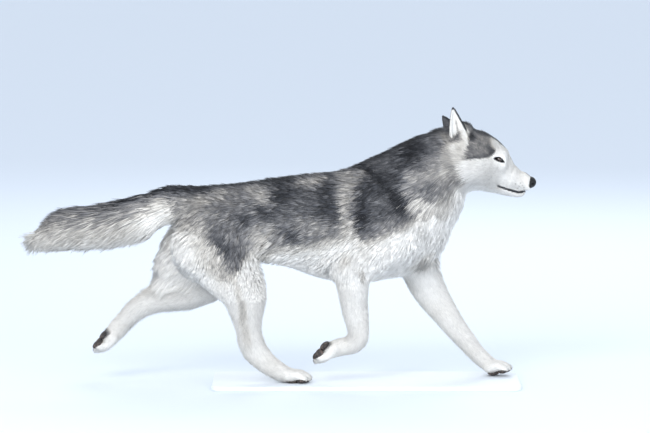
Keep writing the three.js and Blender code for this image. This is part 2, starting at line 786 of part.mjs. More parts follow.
// The place where a line from the inside of a core comes out of it.
function surfaceFrom(core, origin, direction) {
  const p = origin.clone();
  for (let n = 0; n < 80 && core(...p.toArray()) < 0; n++) p.addScaledVector(direction, 4);
  return p;
}

// A lock starts under the core, widens, rises to the outline and ends in a point a little over it.
const RINGS = [
  { at: 0, wide: 0.62, high: 0.8, out: 0, over: -6 },
  { at: 0.36, wide: 1, high: 1, out: 0.45, over: 0 },
  { at: 0.72, wide: 0.7, high: 0.6, out: 0.82, over: 0 },
  { at: 1, out: 1, over: 0 },
];
function lock(core, root, flow, { length, width, thick }, over, clear = 0) {
  const sway = random(-0.2, 0.2);
  const curl = random(-0.3, 0.3);
  const p = root.clone();
  const points = [];
  let from = 0;
  for (const ring of RINGS) {
    const field = (x, y, z) => (1 - ring.out) * core(x, y, z) + ring.out * wholeBody(x, y, z);
    const height = ring.at === 1 ? over : ring.over + clear * ring.out;
    const before = lift(field, p, height);
    const along = flow.clone().addScaledVector(before, -flow.dot(before)).normalize();
    along.applyAxisAngle(before, sway + curl * ring.at);
    p.addScaledVector(along, (ring.at - from) * length);
    from = ring.at;
    const out = lift(field, p, height);
    if (ring.at === 1) {
      points.push(p.toArray());
      continue;
    }
    const side = new THREE.Vector3().crossVectors(along, out).multiplyScalar((ring.wide * width) / 2);
    const up = out.clone().multiplyScalar((ring.high * thick) / 2);
    for (const edge of [side, up, side.clone().negate(), up.clone().negate()])
      points.push(p.clone().add(edge).toArray());
  }
  const faces = [[0, 2, 1], [0, 3, 2]];
  for (let ring = 0; ring < 8; ring += 4)
    for (let i = 0; i < 4; i++) {
      const [a, b] = [ring + i, ring + ((i + 1) % 4)];
      faces.push([a, b, b + 4], [a, b + 4, a + 4]);
    }
  for (let i = 0; i < 4; i++) faces.push([8 + i, 8 + ((i + 1) % 4), 12]);
  const solid = solidOf({ points, faces });
  return solid.volume() > 0 ? solid : solidOf({ points, faces: faces.map((f) => [...f].reverse()) });
}

// What is left of a set of locks clear of the nodes beside it
function clearOf(locks, neighbours) {
  const gap = 2 * CUT;
  const shifts = [[gap, 0, 0], [-gap, 0, 0], [0, gap, 0], [0, -gap, 0], [0, 0, gap], [0, 0, -gap]];
  return neighbours.reduce(
    (solid, other) => shifts.reduce((left, by) => left.subtract(other.translate(by)), solid),
    wasm.Manifold.union(locks),
  );
}

function withLocks(core, locks, neighbours, triangles) {
  const whole = largest(core.add(clearOf(locks, neighbours)));
  return largest(solidOf(thin(meshOf(whole), triangles)));
}

function ruffLocks() {
  const up = new THREE.Vector3(-Math.sin(NECK_PITCH), 0, Math.cos(NECK_PITCH));
  const back = new THREE.Vector3(-Math.cos(NECK_PITCH), 0, -Math.sin(NECK_PITCH));
  const locks = [];
  for (let tier = 0; tier < RUFF.tiers; tier++)
    for (let i = 0; i < RUFF.around; i++) {
      const angle = ((i + (tier % 2) / 2 + random(-0.15, 0.15)) / RUFF.around) * 2 * Math.PI;
      const origin = new THREE.Vector3(222, 0, 551);
      origin.addScaledVector(back, RUFF.first + tier * RUFF.apart + random(-4, 4));
      const out = up.clone().multiplyScalar(Math.cos(angle));
      out.y += Math.sin(angle);
      const flow = back.clone().add(new THREE.Vector3(0, 0, 0.5 * Math.cos(angle) - 0.5));
      const last = tier === RUFF.tiers - 1;
      const size = { ...RUFF, length: RUFF.length * random(0.85, 1.15) };
      if (last) size.thick *= 0.6;
      const root = surfaceFrom(ruffCore, origin, out);
      locks.push(lock(ruffCore, root, flow, size, last ? 6 : random(1.5, 5), last ? 4 : 0));
    }
  return locks;
}

function brushLocks() {
  const locks = [];
  for (let tier = 0; tier < BRUSH.tiers; tier++)
    for (let i = 0; i < BRUSH.around; i++) {
      const angle = ((i + (tier % 2) / 2 + random(-0.12, 0.12)) / BRUSH.around) * 2 * Math.PI;
      const x = BRUSH.first + tier * BRUSH.apart + random(-6, 6);
      const row = smoothRows(TAIL_CORE, 6).find((r) => r[0] < x);
      const out = new THREE.Vector3(-0.1, Math.sin(angle), Math.cos(angle));
      const under = (1 - Math.cos(angle)) / 2;
      const flow = new THREE.Vector3(-1, 0.1 * Math.sin(angle), -0.04 - 0.7 * under);
      const size = { ...BRUSH, length: BRUSH.length * random(0.88, 1.12) };
      const root = surfaceFrom(brushCore, new THREE.Vector3(x, 0, row[2]), out);
      locks.push(lock(brushCore, root, flow, size, random(-1, 4)));
    }
  for (let i = 0; i < 6; i++) {
    const angle = ((i + random(-0.1, 0.1)) / 6) * 2 * Math.PI;
    const root = new THREE.Vector3(-768, 9 * Math.sin(angle), 399 + 10 * Math.cos(angle));
    const flow = new THREE.Vector3(-1, 0.14 * Math.sin(angle), -0.62 + 0.3 * Math.cos(angle));
    const size = { ...BRUSH, length: 74 * random(0.85, 1.1), width: 34 };
    locks.push(lock(brushCore, root, flow, size, random(-2, 2)));
  }
  return locks;
}

function breechLocks(core, name, side) {
  const locks = [];
  for (let tier = 0; tier < BREECH.tiers; tier++)
    for (let i = 0; i < BREECH.across; i++) {
      const z = BREECH.top - tier * BREECH.apart + random(-6, 6);
      const [x, y] = smoothRows(THIGH[name], 6).find((r) => r[2] < z);
      const spread = i - (BREECH.across - 1) / 2 + (tier % 2) / 2 - 0.25 + random(-0.1, 0.1);
      const out = new THREE.Vector3(-1, side * (0.25 + 0.75 * spread), 0).normalize();
      const flow = new THREE.Vector3(-0.3, 0, -1);
      const size = { ...BREECH, length: BREECH.length * random(0.85, 1.1) };
      const root = surfaceFrom(core, new THREE.Vector3(x, y, z), out);
      locks.push(lock(core, root, flow, size, random(1, 4)));
    }
  return locks;
}

// A claw: a bent cone that grows out of the end of its toe.
function claw(paw, { place, across, reach }) {
  const cone = new THREE.ConeGeometry(CLAW.radius, CLAW.length, 6, 3);
  cone.translate(0, CLAW.length / 2 - 6, 0);
  const p = cone.attributes.position;
  for (let i = 0; i < p.count; i++) {
    const t = Math.max(p.getY(i), 0) / CLAW.length;
    p.setZ(i, p.getZ(i) - CLAW.bend * CLAW.length * t * t);
  }
  const forward = new THREE.Vector3(paw.toes[0], 0, paw.toes[1]);
  const up = new THREE.Vector3(paw.top[0], 0, paw.top[1]);
  const tilt = forward.clone().multiplyScalar(0.93).addScaledVector(up, -0.37).normalize();
  const above = new THREE.Vector3().crossVectors(new THREE.Vector3().crossVectors(tilt, up), tilt);
  const turn = new THREE.Matrix4().makeBasis(
    new THREE.Vector3().crossVectors(tilt, above),
    tilt,
    above,
  );
  turn.setPosition(...place(32 + reach, across * 1.05, -2));
  cone.applyMatrix4(turn);
  return solidOfGeometry(cone);
}

function pawSolid(name, cell, triangles) {
  const paw = PAWS[name];
  const foot = nodeSolid(name, legsWithPaws, cell, triangles);
  const clawed = toes(paw).reduce((solid, toe) => solid.add(claw(paw, toe)), foot);
  return largest(paw.flat ? clawed.intersect(block([[-900, -200, 0], [600, 200, 300]], [FLOOR], 0)) : clawed);
}

function eyeSolid(centre) {
  const g = new THREE.SphereGeometry(EYE.r, 14, 9);
  g.translate(...centre);
  return solidOfGeometry(g);
}

function baseGeometry() {
  const { length, width, thick, corner, bevel } = BASE;
  const [x, y, r] = [length / 2 - bevel, width / 2 - bevel, corner];
  const outline = new THREE.Shape();
  outline.absarc(x - r, y - r, r, 0, Math.PI / 2);
  outline.absarc(-x + r, y - r, r, Math.PI / 2, Math.PI);
  outline.absarc(-x + r, -y + r, r, Math.PI, 1.5 * Math.PI);
  outline.absarc(x - r, -y + r, r, 1.5 * Math.PI, 2 * Math.PI);
  const options = { depth: thick - 2 * bevel, bevelSize: bevel, bevelThickness: bevel };
  const g = new THREE.ExtrudeGeometry(outline, { ...options, bevelSegments: 1, curveSegments: 5 });
  return g.translate(0, 0, bevel);
}

const material = (color, roughness) => new THREE.MeshStandardMaterial({ color, roughness });
const FINISH = {
  grey_coat: material("#6f7278", 0.9),
  white_coat: material("#e6e5e1", 0.9),
  leather: material("#1b1b1e", 0.45),
  eye: material("#2a1a12", 0.1),
  stand: material("#e9edf0", 0.6),
};

const dog = new THREE.Group();
function show(name, geometry, finish) {
  const mesh = new THREE.Mesh(geometry, FINISH[finish]);
  mesh.name = name;
  dog.add(mesh);
}

const torso = torsoSolid();
const shanks = {};
show("stand_base", baseGeometry(), "stand");
show("torso", geometryOf(torso), "grey_coat");
for (const [name] of SIDES) {
  shanks[name] = nodeSolid(`shank_${name}`, wholeBody, 5, 320);
  show(`shank_${name}`, geometryOf(shanks[name]), "white_coat");
  const foreleg = nodeSolid(`foreleg_${name}`, wholeBody, 5, 360);
  show(`foreleg_${name}`, geometryOf(foreleg), "white_coat");
  show(`forepaw_${name}`, geometryOf(pawSolid(`forepaw_${name}`, 2.4, 460)), "white_coat");
  show(`hindpaw_${name}`, geometryOf(pawSolid(`hindpaw_${name}`, 2.4, 460)), "white_coat");
}
const head = nodeSolid("head", headWithEars, 2.6, 2000);
show("head", geometryOf(head), "white_coat");
show("nose", geometryOf(nodeSolid("nose", headField, 1.6, 220)), "leather");
for (const name of Object.keys(EARS)) {
  show(name, geometryOf(nodeSolid(name, headWithEars, 2.2, 300)), "grey_coat");
}
eyes.forEach((centre, n) => show(`eye_${SIDES[n][0]}`, geometryOf(eyeSolid(centre)), "eye"));

const neckCore = nodeSolid("neck", ruffCore, 8, 420);
show("neck", geometryOf(withLocks(neckCore, ruffLocks(), [torso, head], 3300)), "grey_coat");
const tailInside = nodeSolid("tail", brushCore, 5, 260);
const tailNode = withLocks(tailInside, brushLocks(), [torso], 3600);
show("tail", geometryOf(tailNode), "grey_coat");
for (const [name, side] of SIDES) {
  const inner = breechCore(side < 0 ? -400 : -430);
  const core = nodeSolid(`thigh_${name}`, inner, 6, 380);
  const locks = breechLocks(inner, name, side);
  const thigh = withLocks(core, locks, [torso, tailNode, shanks[name]], 700);
  show(`thigh_${name}`, geometryOf(thigh), "grey_coat");
}

export default dog;
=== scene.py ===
import math

import bpy
import numpy as np
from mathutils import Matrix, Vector, kdtree


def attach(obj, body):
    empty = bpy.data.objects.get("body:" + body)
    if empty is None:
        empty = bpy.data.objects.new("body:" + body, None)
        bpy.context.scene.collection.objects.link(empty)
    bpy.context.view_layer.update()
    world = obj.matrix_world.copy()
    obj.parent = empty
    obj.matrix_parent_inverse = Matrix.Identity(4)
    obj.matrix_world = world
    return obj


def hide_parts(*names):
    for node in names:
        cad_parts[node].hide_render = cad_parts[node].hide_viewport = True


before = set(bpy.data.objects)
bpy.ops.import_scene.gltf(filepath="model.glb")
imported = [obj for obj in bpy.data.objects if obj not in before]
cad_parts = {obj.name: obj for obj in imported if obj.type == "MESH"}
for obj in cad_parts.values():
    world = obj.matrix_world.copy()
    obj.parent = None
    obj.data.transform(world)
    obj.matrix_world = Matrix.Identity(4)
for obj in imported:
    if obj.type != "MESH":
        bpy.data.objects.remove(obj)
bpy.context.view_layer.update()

# The room: a plain pale floor and soft light from large lamps, as in a studio.
# The camera looks at the dog's right side from a little above its back, through a long lens.
SCALE = 1.625  # metres across the picture at the dog
DISTANCE = 9.0
PITCH = math.radians(6)
AIM = Vector((-0.1025, 0, 0.4225))


def new_object(name, data):
    made = bpy.data.objects.new(name, data)
    bpy.context.scene.collection.objects.link(made)
    return made


camera = new_object("camera", bpy.data.cameras.new("camera"))
camera.data.sensor_width = 36
camera.data.lens = 36 * DISTANCE / SCALE
camera.data.clip_end = 200
camera.location = AIM + DISTANCE * Vector((0, -math.cos(PITCH), math.sin(PITCH)))
camera.rotation_euler = (math.pi / 2 - PITCH, 0, 0)
bpy.context.scene.camera = camera


class Value:
    """A socket of a finish that can be added to and multiplied."""

    def __init__(self, finish, socket):
        self.finish = finish
        self.socket = socket

    def sum(self, operation, other):
        return self.finish.node("ShaderNodeMath", {"operation": operation}, {0: self, 1: other})

    def __add__(self, other):
        return self.sum("ADD", other)

    def __mul__(self, other):
        return self.sum("MULTIPLY", other)

    __radd__ = __add__
    __rmul__ = __mul__


class Finish:
    """A material on one principled shader."""

    def __init__(self, name, **constants):
        self.material = bpy.data.materials.new(name)
        self.material.use_nodes = True
        self.tree = self.material.node_tree
        self.shader = self.tree.nodes["Principled BSDF"]
        for socket, value in constants.items():
            self.shader.inputs[socket.replace("_", " ")].default_value = value

    def node(self, kind, settings=None, values=None, out=0):
        made = self.tree.nodes.new(kind)
        for key, value in (settings or {}).items():
            setattr(made, key, value)
        for key, value in (values or {}).items():
            self.put(made.inputs[key], value)
        return Value(self, made.outputs[out])

    def put(self, socket, value):
        if isinstance(value, Value):
            self.tree.links.new(value.socket, socket)
        else:
            socket.default_value = value

    def feed(self, **links):
        for socket, value in links.items():
            self.put(self.shader.inputs[socket.replace("_", " ")], value)

    def place(self):
        return self.node("ShaderNodeTexCoord", out="Object")

    def painted(self):
        return self.node("ShaderNodeAttribute", {"attribute_name": "coat_colour"}, out="Color")

    def noise(self, scale, detail):
        values = {"Vector": self.place(), "Scale": scale, "Detail": detail}
        return self.node("ShaderNodeTexNoise", None, values)

    def ramp(self, value, *stops):
        """The colours that a value runs through, each with its place."""
        colours = self.node("ShaderNodeValToRGB", None, {0: value}, "Color")
        elements = colours.socket.node.color_ramp.elements
        for n, (place, colour) in enumerate(stops):
            stop = elements[n] if n < 2 else elements.new(place)
            stop.position = place
            stop.color = linear(*colour)
        return colours

    def mix(self, factor, a, b, blend="MIX"):
        settings = {"data_type": "RGBA", "blend_type": blend}
        return self.node("ShaderNodeMix", settings, {0: factor, 6: a, 7: b}, out=2)

    def bump(self, height, strength, distance):
        values = {"Height": height, "Strength": strength, "Distance": distance}
        return self.node("ShaderNodeBump", None, values)


def linear(red, green, blue):
    """A colour given as 0 to 255 in each channel, as light."""
    light = [((v / 255 + 0.055) / 1.055) ** 2.4 if v > 10 else v / 3295 for v in (red, green, blue)]
    return (*light, 1.0)


snow_floor = Finish("pale_floor", Roughness=0.9, Base_Color=linear(226, 234, 244))
floor_mesh = bpy.data.meshes.new("floor")
REACH = 60  # metres from the middle to the floor's edges
rim = [(-REACH, -REACH, 0), (REACH, -REACH, 0), (REACH, REACH, 0), (-REACH, REACH, 0)]
floor_mesh.from_pydata(rim, [], [(0, 1, 2, 3)])
floor_mesh.materials.append(snow_floor.material)
floor = new_object("floor", floor_mesh)


def lamp(name, place, size, power, tint):
    light = bpy.data.lights.new(name, "AREA")
    light.size = size
    light.energy = power
    light.color = tint
    holder = new_object(name, light)
    holder.location = place
    holder.rotation_euler = (Vector((0, 0, 0.4)) - Vector(place)).to_track_quat("-Z", "Y").to_euler()


lamp("key", (-2.4, -4.6, 3.4), 2.6, 150, (1.0, 0.985, 0.96))
lamp("front", (3.4, -4.0, 1.6), 3.0, 75, (0.95, 0.975, 1.0))
lamp("rim", (0.6, 3.6, 3.2), 2.4, 50, (0.96, 0.98, 1.0))
lamp("bounce", (-0.2, -3.6, 0.35), 2.8, 34, (0.94, 0.97, 1.0))
world = bpy.data.worlds.new("room")
world.use_nodes = True
world.node_tree.nodes["Background"].inputs[0].default_value = (0.86, 0.92, 1.0, 1)
world.node_tree.nodes["Background"].inputs[1].default_value = 0.98
bpy.context.scene.world = world
bpy.context.scene.view_settings.view_transform = "Standard"

# The body: one skin under the whole coat, from the nose's edge to the end of the tail and the toes.
# Its sections are those of the solids, [x, y, z, half depth, half width] in millimetres, and it lies
# under them by the depth of the coat, which is thin on the face and the feet and thick on the body.
TRUNK = [
    [-462, 0, 458, 36, 42], [-428, 0, 440, 60, 68], [-362, 0, 424, 79, 84],
    [-299, 0, 418, 94, 84], [-248, 0, 416, 103, 84], [-188, 0, 411, 117, 90],
    [-128, 0, 403, 132, 99], [-65, 0, 398, 141, 104], [-6, 0, 402, 148, 102],
    [55, 0, 410, 147, 97], [101, 0, 402, 128, 86], [145, 0, 392, 94, 68],
    [172, 0, 386, 62, 46],
]
NECK = [
    [12, 0, 405, 112, 84], [76, 0, 441, 129, 95], [132, 0, 486, 124, 94],
    [170, 0, 522, 115, 92], [201, 0, 553, 94, 86], [224, 0, 576, 82, 76],
    [250, 0, 590, 70, 62],
]
SKULL = [
    [232, 0, 570, 72, 58], [255, 0, 572, 75, 65], [279, 0, 563, 73, 66],
    [307, 0, 549, 67, 60], [327, 0, 538, 57, 50], [344, 0, 529, 45, 38],
    [356, 0, 519, 36, 31],
]
MUZZLE = [
    [335, 0, 533, 41, 36], [349, 0, 523, 33, 31], [368, 0, 516, 27, 28],
    [389, 0, 510, 25, 25], [406, 0, 503, 19, 20],
]
JAW = [
    [288, 0, 517, 26, 40], [322, 0, 501, 20, 28], [352, 0, 490, 16, 21],
    [376, 0, 483, 13, 16], [386, 0, 482, 11, 12],
]
TAIL = [
    [-440, 0, 455, 40, 44], [-470, 0, 453, 42, 42], [-500, 0, 451, 43, 39],
    [-520, 0, 444, 47, 38], [-541, 0, 432, 53, 39], [-564, 0, 411, 61, 41],
    [-590, 0, 401, 62, 42], [-665, 0, 395, 59, 44], [-715, 0, 392, 56, 44],
    [-765, 0, 389, 54, 42], [-792, 0, 384, 50, 36], [-816, 0, 368, 37, 25],
    [-838, 0, 346, 14, 11],
]
TAIL_CORE = [
    [-440, 0, 455, 36, 39], [-472, 0, 453, 34, 33], [-500, 0, 453, 29, 27],
    [-545, 0, 437, 26, 23], [-600, 0, 420, 26, 21], [-665, 0, 413, 24, 20],
    [-725, 0, 408, 21, 17], [-772, 0, 400, 15, 12], [-800, 0, 388, 9, 7],
]
SHOULDER = {
    -1: [[40, -58, 480, 40, 28], [92, -66, 392, 50, 34], [20, -72, 332, 44, 34], [-41, -70, 311, 47, 34]],
    1: [[40, 58, 480, 40, 28], [112, 62, 390, 50, 34], [112, 66, 335, 48, 36], [132, 62, 304, 52, 36]],
}
FORELEG = {
    -1: [
        [-41, -70, 311, 46, 33], [-34, -66, 258, 42, 29], [-31, -62, 220, 37, 25],
        [-26, -60, 183, 34, 22], [-20, -58, 150, 29, 21], [-20, -57, 125, 28, 22],
        [-32, -57, 108, 25, 20], [-61, -56, 102, 24, 20], [-84, -56, 95, 22, 23],
    ],
    1: [
        [132, 62, 304, 52, 36], [148, 62, 256, 48, 31], [169, 62, 216, 43, 27],
        [198, 61, 174, 36, 24], [226, 60, 135, 31, 22], [254, 59, 101, 27, 22],
        [276, 58, 74, 24, 22], [298, 57, 52, 22, 23], [316, 57, 39, 20, 26],
    ],
}
THIGH = {
    -1: [
        [-372, -40, 440, 66, 48], [-378, -54, 380, 104, 52], [-358, -60, 313, 106, 48],
        [-324, -63, 254, 80, 39], [-302, -64, 218, 58, 32], [-297, -63, 180, 44, 27],
        [-293, -62, 148, 36, 24], [-288, -60, 118, 32, 22],
    ],
    1: [
        [-372, 40, 440, 66, 48], [-398, 54, 375, 100, 52], [-424, 60, 315, 101, 48],
        [-436, 63, 272, 92, 40], [-432, 64, 236, 54, 34],
    ],
}
SHANK = {
    -1: [
        [-290, -60, 120, 31, 22], [-277, -59, 92, 34, 21], [-247, -58, 60, 28, 21],
        [-214, -58, 38, 24, 24], [-190, -58, 30, 18, 26],
    ],
    1: [
        [-398, 64, 236, 42, 34], [-446, 64, 224, 46, 32], [-492, 63, 213, 39, 27],
        [-535, 62, 203, 34, 23], [-574, 60, 184, 30, 21], [-601, 59, 158, 26, 19],
        [-626, 58, 131, 25, 21], [-642, 58, 113, 22, 24],
    ],
}


def vec(*parts):
    """One vector, or an array of them where a part is an array."""
    return np.stack(np.broadcast_arrays(*parts), -1).astype(float)


PAWS = {
    "forepaw_right": {"at": vec(-100, -56, 84), "toes": vec(-0.74, 0, -0.67), "top": vec(0.67, 0, -0.74)},
    "forepaw_left": {"at": vec(333, 57, 34), "toes": vec(0.995, 0, 0.1), "top": vec(-0.1, 0, 0.995)},
    "hindpaw_right": {"at": vec(-172, -58, 28), "toes": vec(1, 0, 0), "top": vec(0, 0, 1)},
    "hindpaw_left": {"at": vec(-656, 58, 96), "toes": vec(-0.72, 0, -0.69), "top": vec(0.69, 0, -0.72)},
}
# For each toe, its distance across from the middle of the paw and how far it reaches forward
TOES = [(-20.25 * 0.9, -9), (-6.75 * 0.95, 0), (6.75 * 0.95, 0), (20.25 * 0.9, -9)]
TOE = 10
PAD = 13
EARS = {
    -1: {"base": vec(233, -38, 606), "tip": vec(215, -50, 697), "open": vec(0.32, -0.93, 0.2)},
    1: {"base": vec(236, 38, 604), "tip": vec(194, 60, 668), "open": vec(0.05, 0.97, 0.2)},
}
EYE = {"x": 331, "y": 35, "z": 569, "r": 11.5}
FAR = 60  # from here on a form's field is the distance to its box
DOWN = -math.pi / 2
NECK_PITCH = 0.61
HEAD_PITCH = -0.42
NOSE_BACK = ((407, 0, 510), (0.97, 0, -0.24))
FLOOR = 12.3  # just above the top of the base


def smooth_rows(rows, steps):
    """Rows with more between them, on a smooth curve through them."""
    rows = np.array(rows, float)
    out = []
    for i in range(len(rows) - 1):
        a = rows[max(i - 1, 0)]
        b = rows[i]
        c = rows[i + 1]
        d = rows[min(i + 2, len(rows) - 1)]
        for j in range(steps):
            t = j / steps
            bend = 2 * a - 5 * b + 4 * c - d
            end = 3 * b - a - 3 * c + d
            out.append(b + 0.5 * t * (c - a + t * (bend + t * end)))
    out.append(rows[-1])
    return np.array(out)


def within(rows, form):
    """The field of one form near it, and the distance to its box further away."""
    rows = np.array(rows, float)
    around = np.stack([rows[:, 3], rows[:, 4], rows[:, 3]], 1)
    low = (rows[:, :3] - around).min(0)
    high = (rows[:, :3] + around).max(0)

    def field(p):
        gap = np.maximum(np.maximum(low - p, p - high), 0)
        far = np.sqrt((gap * gap).sum(1))
        near = far <= FAR
        far[near] = form(p[near])
        return far

    return field


def loft(rows, angle, cap):
    """A run of oval sections along a straight axis that points at an angle in the side view."""
    c, s = math.cos(angle), math.sin(angle)
    table = smooth_rows(rows, 4)
    stations = table[:, 0] * c + table[:, 2] * s
    middle = table[:, 2] * c - table[:, 0] * s

    def form(p):
        along = p[:, 0] * c + p[:, 2] * s
        depth = np.interp(along, stations, table[:, 3])
        width = np.interp(along, stations, table[:, 4])
        up = (p[:, 2] * c - p[:, 0] * s - np.interp(along, stations, middle)) / depth
        side = (p[:, 1] - np.interp(along, stations, table[:, 1])) / width
        beyond = np.maximum(np.maximum(stations[0] - along, along - stations[-1]), 0) / cap
        return (np.sqrt(up * up + side * side + beyond * beyond) - 1) * np.minimum(depth, width)

    return within(rows, form)


def limb(rows, steps=3):
    """A bent limb of round-ended lengths."""
    spans = smooth_rows(rows, steps)

    def form(p):
        least = np.full(len(p), np.inf)
        for a, b in zip(spans, spans[1:]):
            dx, dz = b[0] - a[0], b[2] - a[2]
            reach = ((p[:, 0] - a[0]) * dx + (p[:, 2] - a[2]) * dz) / (dx * dx + dz * dz)
            t = reach.clip(0, 1)
            r = a[3] + t * (b[3] - a[3])
            side = (p[:, 1] - a[1] - t * (b[1] - a[1])) * r / (a[4] + t * (b[4] - a[4]))
            x = p[:, 0] - a[0] - t * dx
            z = p[:, 2] - a[2] - t * dz
            least = np.minimum(least, np.sqrt(x * x + side * side + z * z) - r)
        return least

    return within(rows, form)


def ball(centre, radii):
    centre = np.array(centre, float)
    radii = np.array(radii, float)
    return lambda p: (np.sqrt((((p - centre) / radii) ** 2).sum(1)) - 1) * radii.min()


def join(a, b, blend):
    h = np.maximum(blend - np.abs(a - b), 0) / blend
    return np.minimum(a, b) - h * h * blend / 4


def carve(a, b, blend):
    return -join(-a, b, blend)


def body_field(parts):
    def field(p):
        f = parts[0][0](p)
        for part, blend in parts[1:]:
            f = join(f, part(p), blend)
        return f

    return field


def window(v, low, high):
    """0 below low, 1 above high, smooth between; the other way round where high is the lower."""
    t = ((v - low) / (high - low)).clip(0, 1)
    return t * t * (3 - 2 * t)


def layered(value, *layers):
    """A value that each layer in turn draws towards its aim, by its weight of 0 to 1."""
    for aim, weight in layers:
        value = value + (aim - value) * weight
    return value


def unit(v):
    return v / np.maximum(np.linalg.norm(v, axis=-1, keepdims=True), 1e-12)


def beyond(plane, p):
    """How far points lie in front of a plane, which is given by a place on it and the way it faces."""
    return (p - plane[0]) @ unit(vec(*plane[1]))


def ear(base, tip, open):
    """A tapering cone, hollowed from the side that it opens to."""

    def rows(table):
        return [[*(base + t * (tip - base) + push * open), depth, width] for t, push, depth, width in table]

    outer = limb(rows([(-0.12, 0, 24, 20), (0.35, 0, 22, 18), (0.75, 0, 12, 10), (1, 0, 4, 4)]))
    inner = limb(rows([(0, 17, 21, 15), (0.38, 14, 19, 13), (0.78, 8, 9, 7), (0.93, 5, 3, 3)]))
    return lambda p: carve(outer(p), inner(p), 2)


def on_paw(paw, ahead, across, up):
    """A place given by its distance forward, across and up from the middle of a paw."""
    return paw["at"] + ahead * paw["toes"] + vec(0, across, 0) + up * paw["top"]


def paw_parts(paw):
    parts = []
    for across, reach in TOES:
        toe = [
            [*on_paw(paw, -14 + reach, across * 0.8, 3), 13, 11],
            [*on_paw(paw, 8 + reach, across, 5), 11.5, TOE],
            [*on_paw(paw, 24 + reach, across * 1.05, -4), 10, TOE - 1],
        ]
        parts.append((limb(toe, 2), 3))
    parts.append((ball(on_paw(paw, -12, 0, -9), [PAD, PAD + 4, PAD - 4]), 3))
    return parts


trunk = loft(TRUNK, 0, 30)
neck = loft(NECK, NECK_PITCH, 40)
skull = loft(SKULL, HEAD_PITCH, 24)
muzzle = loft(MUZZLE, HEAD_PITCH, 10)
jaw = limb(JAW)
tail = loft(TAIL, math.pi, 8)
tail_core = limb(TAIL_CORE)
legs = {}
for side in (-1, 1):
    legs[side] = [
        (limb(SHOULDER[side]), 34),
        (limb(FORELEG[side]), 12),
        (loft(THIGH[side], DOWN, 26), 30),
        (limb(SHANK[side]), 12),
    ]
tailless = [(trunk, 0), (neck, 46), (skull, 26), *legs[-1], *legs[1]]
coat_body = body_field([*tailless, (tail, 22)])
bare_body = body_field(tailless)
face = [(skull, 0), (neck, 26), (jaw, 12), (muzzle, 10)]
for side in (-1, 1):
    face.append((ball([262, 42 * side, 546], [36, 26, 38]), 22))
    face.append((limb([[332, 38 * side, 556, 12, 10], [286, 55 * side, 566, 15, 12]]), 18))
    face.append((ball([336, 22 * side, 584], [17, 13, 11]), 16))
    face.append((ball([250, 26 * side, 638], [21, 18, 23]), 14))
head_form = body_field(face)
nose_pad = ball([409, 0, 509], [15, 16, 14.5])
ears = [ear(**EARS[side]) for side in (-1, 1)]
paws = body_field([part for paw in PAWS.values() for part in paw_parts(paw)])
eyes = [vec(EYE["x"], EYE["y"] * side, EYE["z"]) for side in (-1, 1)]
MOUTH = {"corner": 327, "front": 405, "gap": 1.2, "deep": 4}


def mouth_height(x):
    """How high the line of the mouth runs."""
    return 485 + 17 * (np.maximum(0, 380 - x) / 53) ** 1.15 + 0.006 * np.maximum(0, x - 378) ** 2


def slit(eye):
    """What the lids leave open before one eye."""
    side = np.sign(eye[1])
    rows = [
        [eye[0] - 11.5, eye[1] + 10 * side, eye[2] + 4.2, 1.7, 14],
        [eye[0] - 0.5, eye[1] + 7 * side, eye[2] + 0.8, 5.6, 14],
        [eye[0] + 9.5, eye[1], eye[2] - 4.8, 1.9, 12],
    ]
    return limb(rows, 3)


slits = [slit(eye) for eye in eyes]


def lidded(f, p, proud):
    """A head field with its lids, eye sockets, lips and nostrils."""
    raw = f
    for eye in eyes:
        f = join(f, ball([eye[0], eye[1] + np.sign(eye[1]), eye[2]], [EYE["r"] + proud] * 3)(p), 5)
    for eye, gap in zip(eyes, slits):
        f = carve(f, ball(eye, [EYE["r"] + 0.25] * 3)(p), 0.5)
        f = carve(f, gap(p), 1.5)
    line = np.maximum.reduce([
        np.abs(p[:, 2] - mouth_height(p[:, 0])) - MOUTH["gap"],
        MOUTH["corner"] - p[:, 0],
        p[:, 0] - MOUTH["front"],
        -raw - MOUTH["deep"],
    ])
    f = carve(f, line, 1.5)
    for side in (-1, 1):
        f = carve(f, ball([416, 7 * side, 510], [5, 3.6, 3.4])(p), 1)
    return f


def near_head(p):
    """Whether points lie where the head's form has to be worked out."""
    return (p[:, 0] > 150) & (p[:, 2] > 430)


def outline(p):
    """The field of the coat's own surface, which the tips reach."""
    f = coat_body(p)
    low = p[:, 2] < 175
    f[low] = join(f[low], paws(p[low]), 8)
    close = near_head(p)
    q = p[close]
    g = join(head_form(q), nose_pad(q), 3)
    for one in ears:
        g = join(g, one(q), 8)
    f[close] = np.minimum(f[close], g)
    return f


def leg_share(p):
    """1 on the lower legs, 0 on the body, smooth between."""
    x, z = p[:, 0], p[:, 2]
    fore = window(z, 330, 250) * window(x, -190, -160)
    return np.maximum(fore, window(z, 345, 225) * window(x, -150, -190) * window(z, 400, 345))


def paw_share(p):
    """1 on the paws, 0 away from them."""
    away = np.min([np.linalg.norm(p - paw["at"], axis=1) for paw in PAWS.values()], axis=0)
    return window(away, 85, 45)


def head_share(p):
    """0 on the neck, 1 on the head."""
    return window(beyond(((236, 0, 556), (0.949, 0, 0.316)), p), -34, 40)


def ear_field(p):
    """The field of both ears."""
    return np.min([one(p) for one in ears], axis=0)


def ear_share(p):
    """1 on the ears, 0 on the skull."""
    share = np.zeros(len(p))
    close = near_head(p) & (p[:, 2] > 600)
    q = p[close]
    share[close] = window(head_form(q), -3, 3) * window(ear_field(q), 6, 2)
    return share


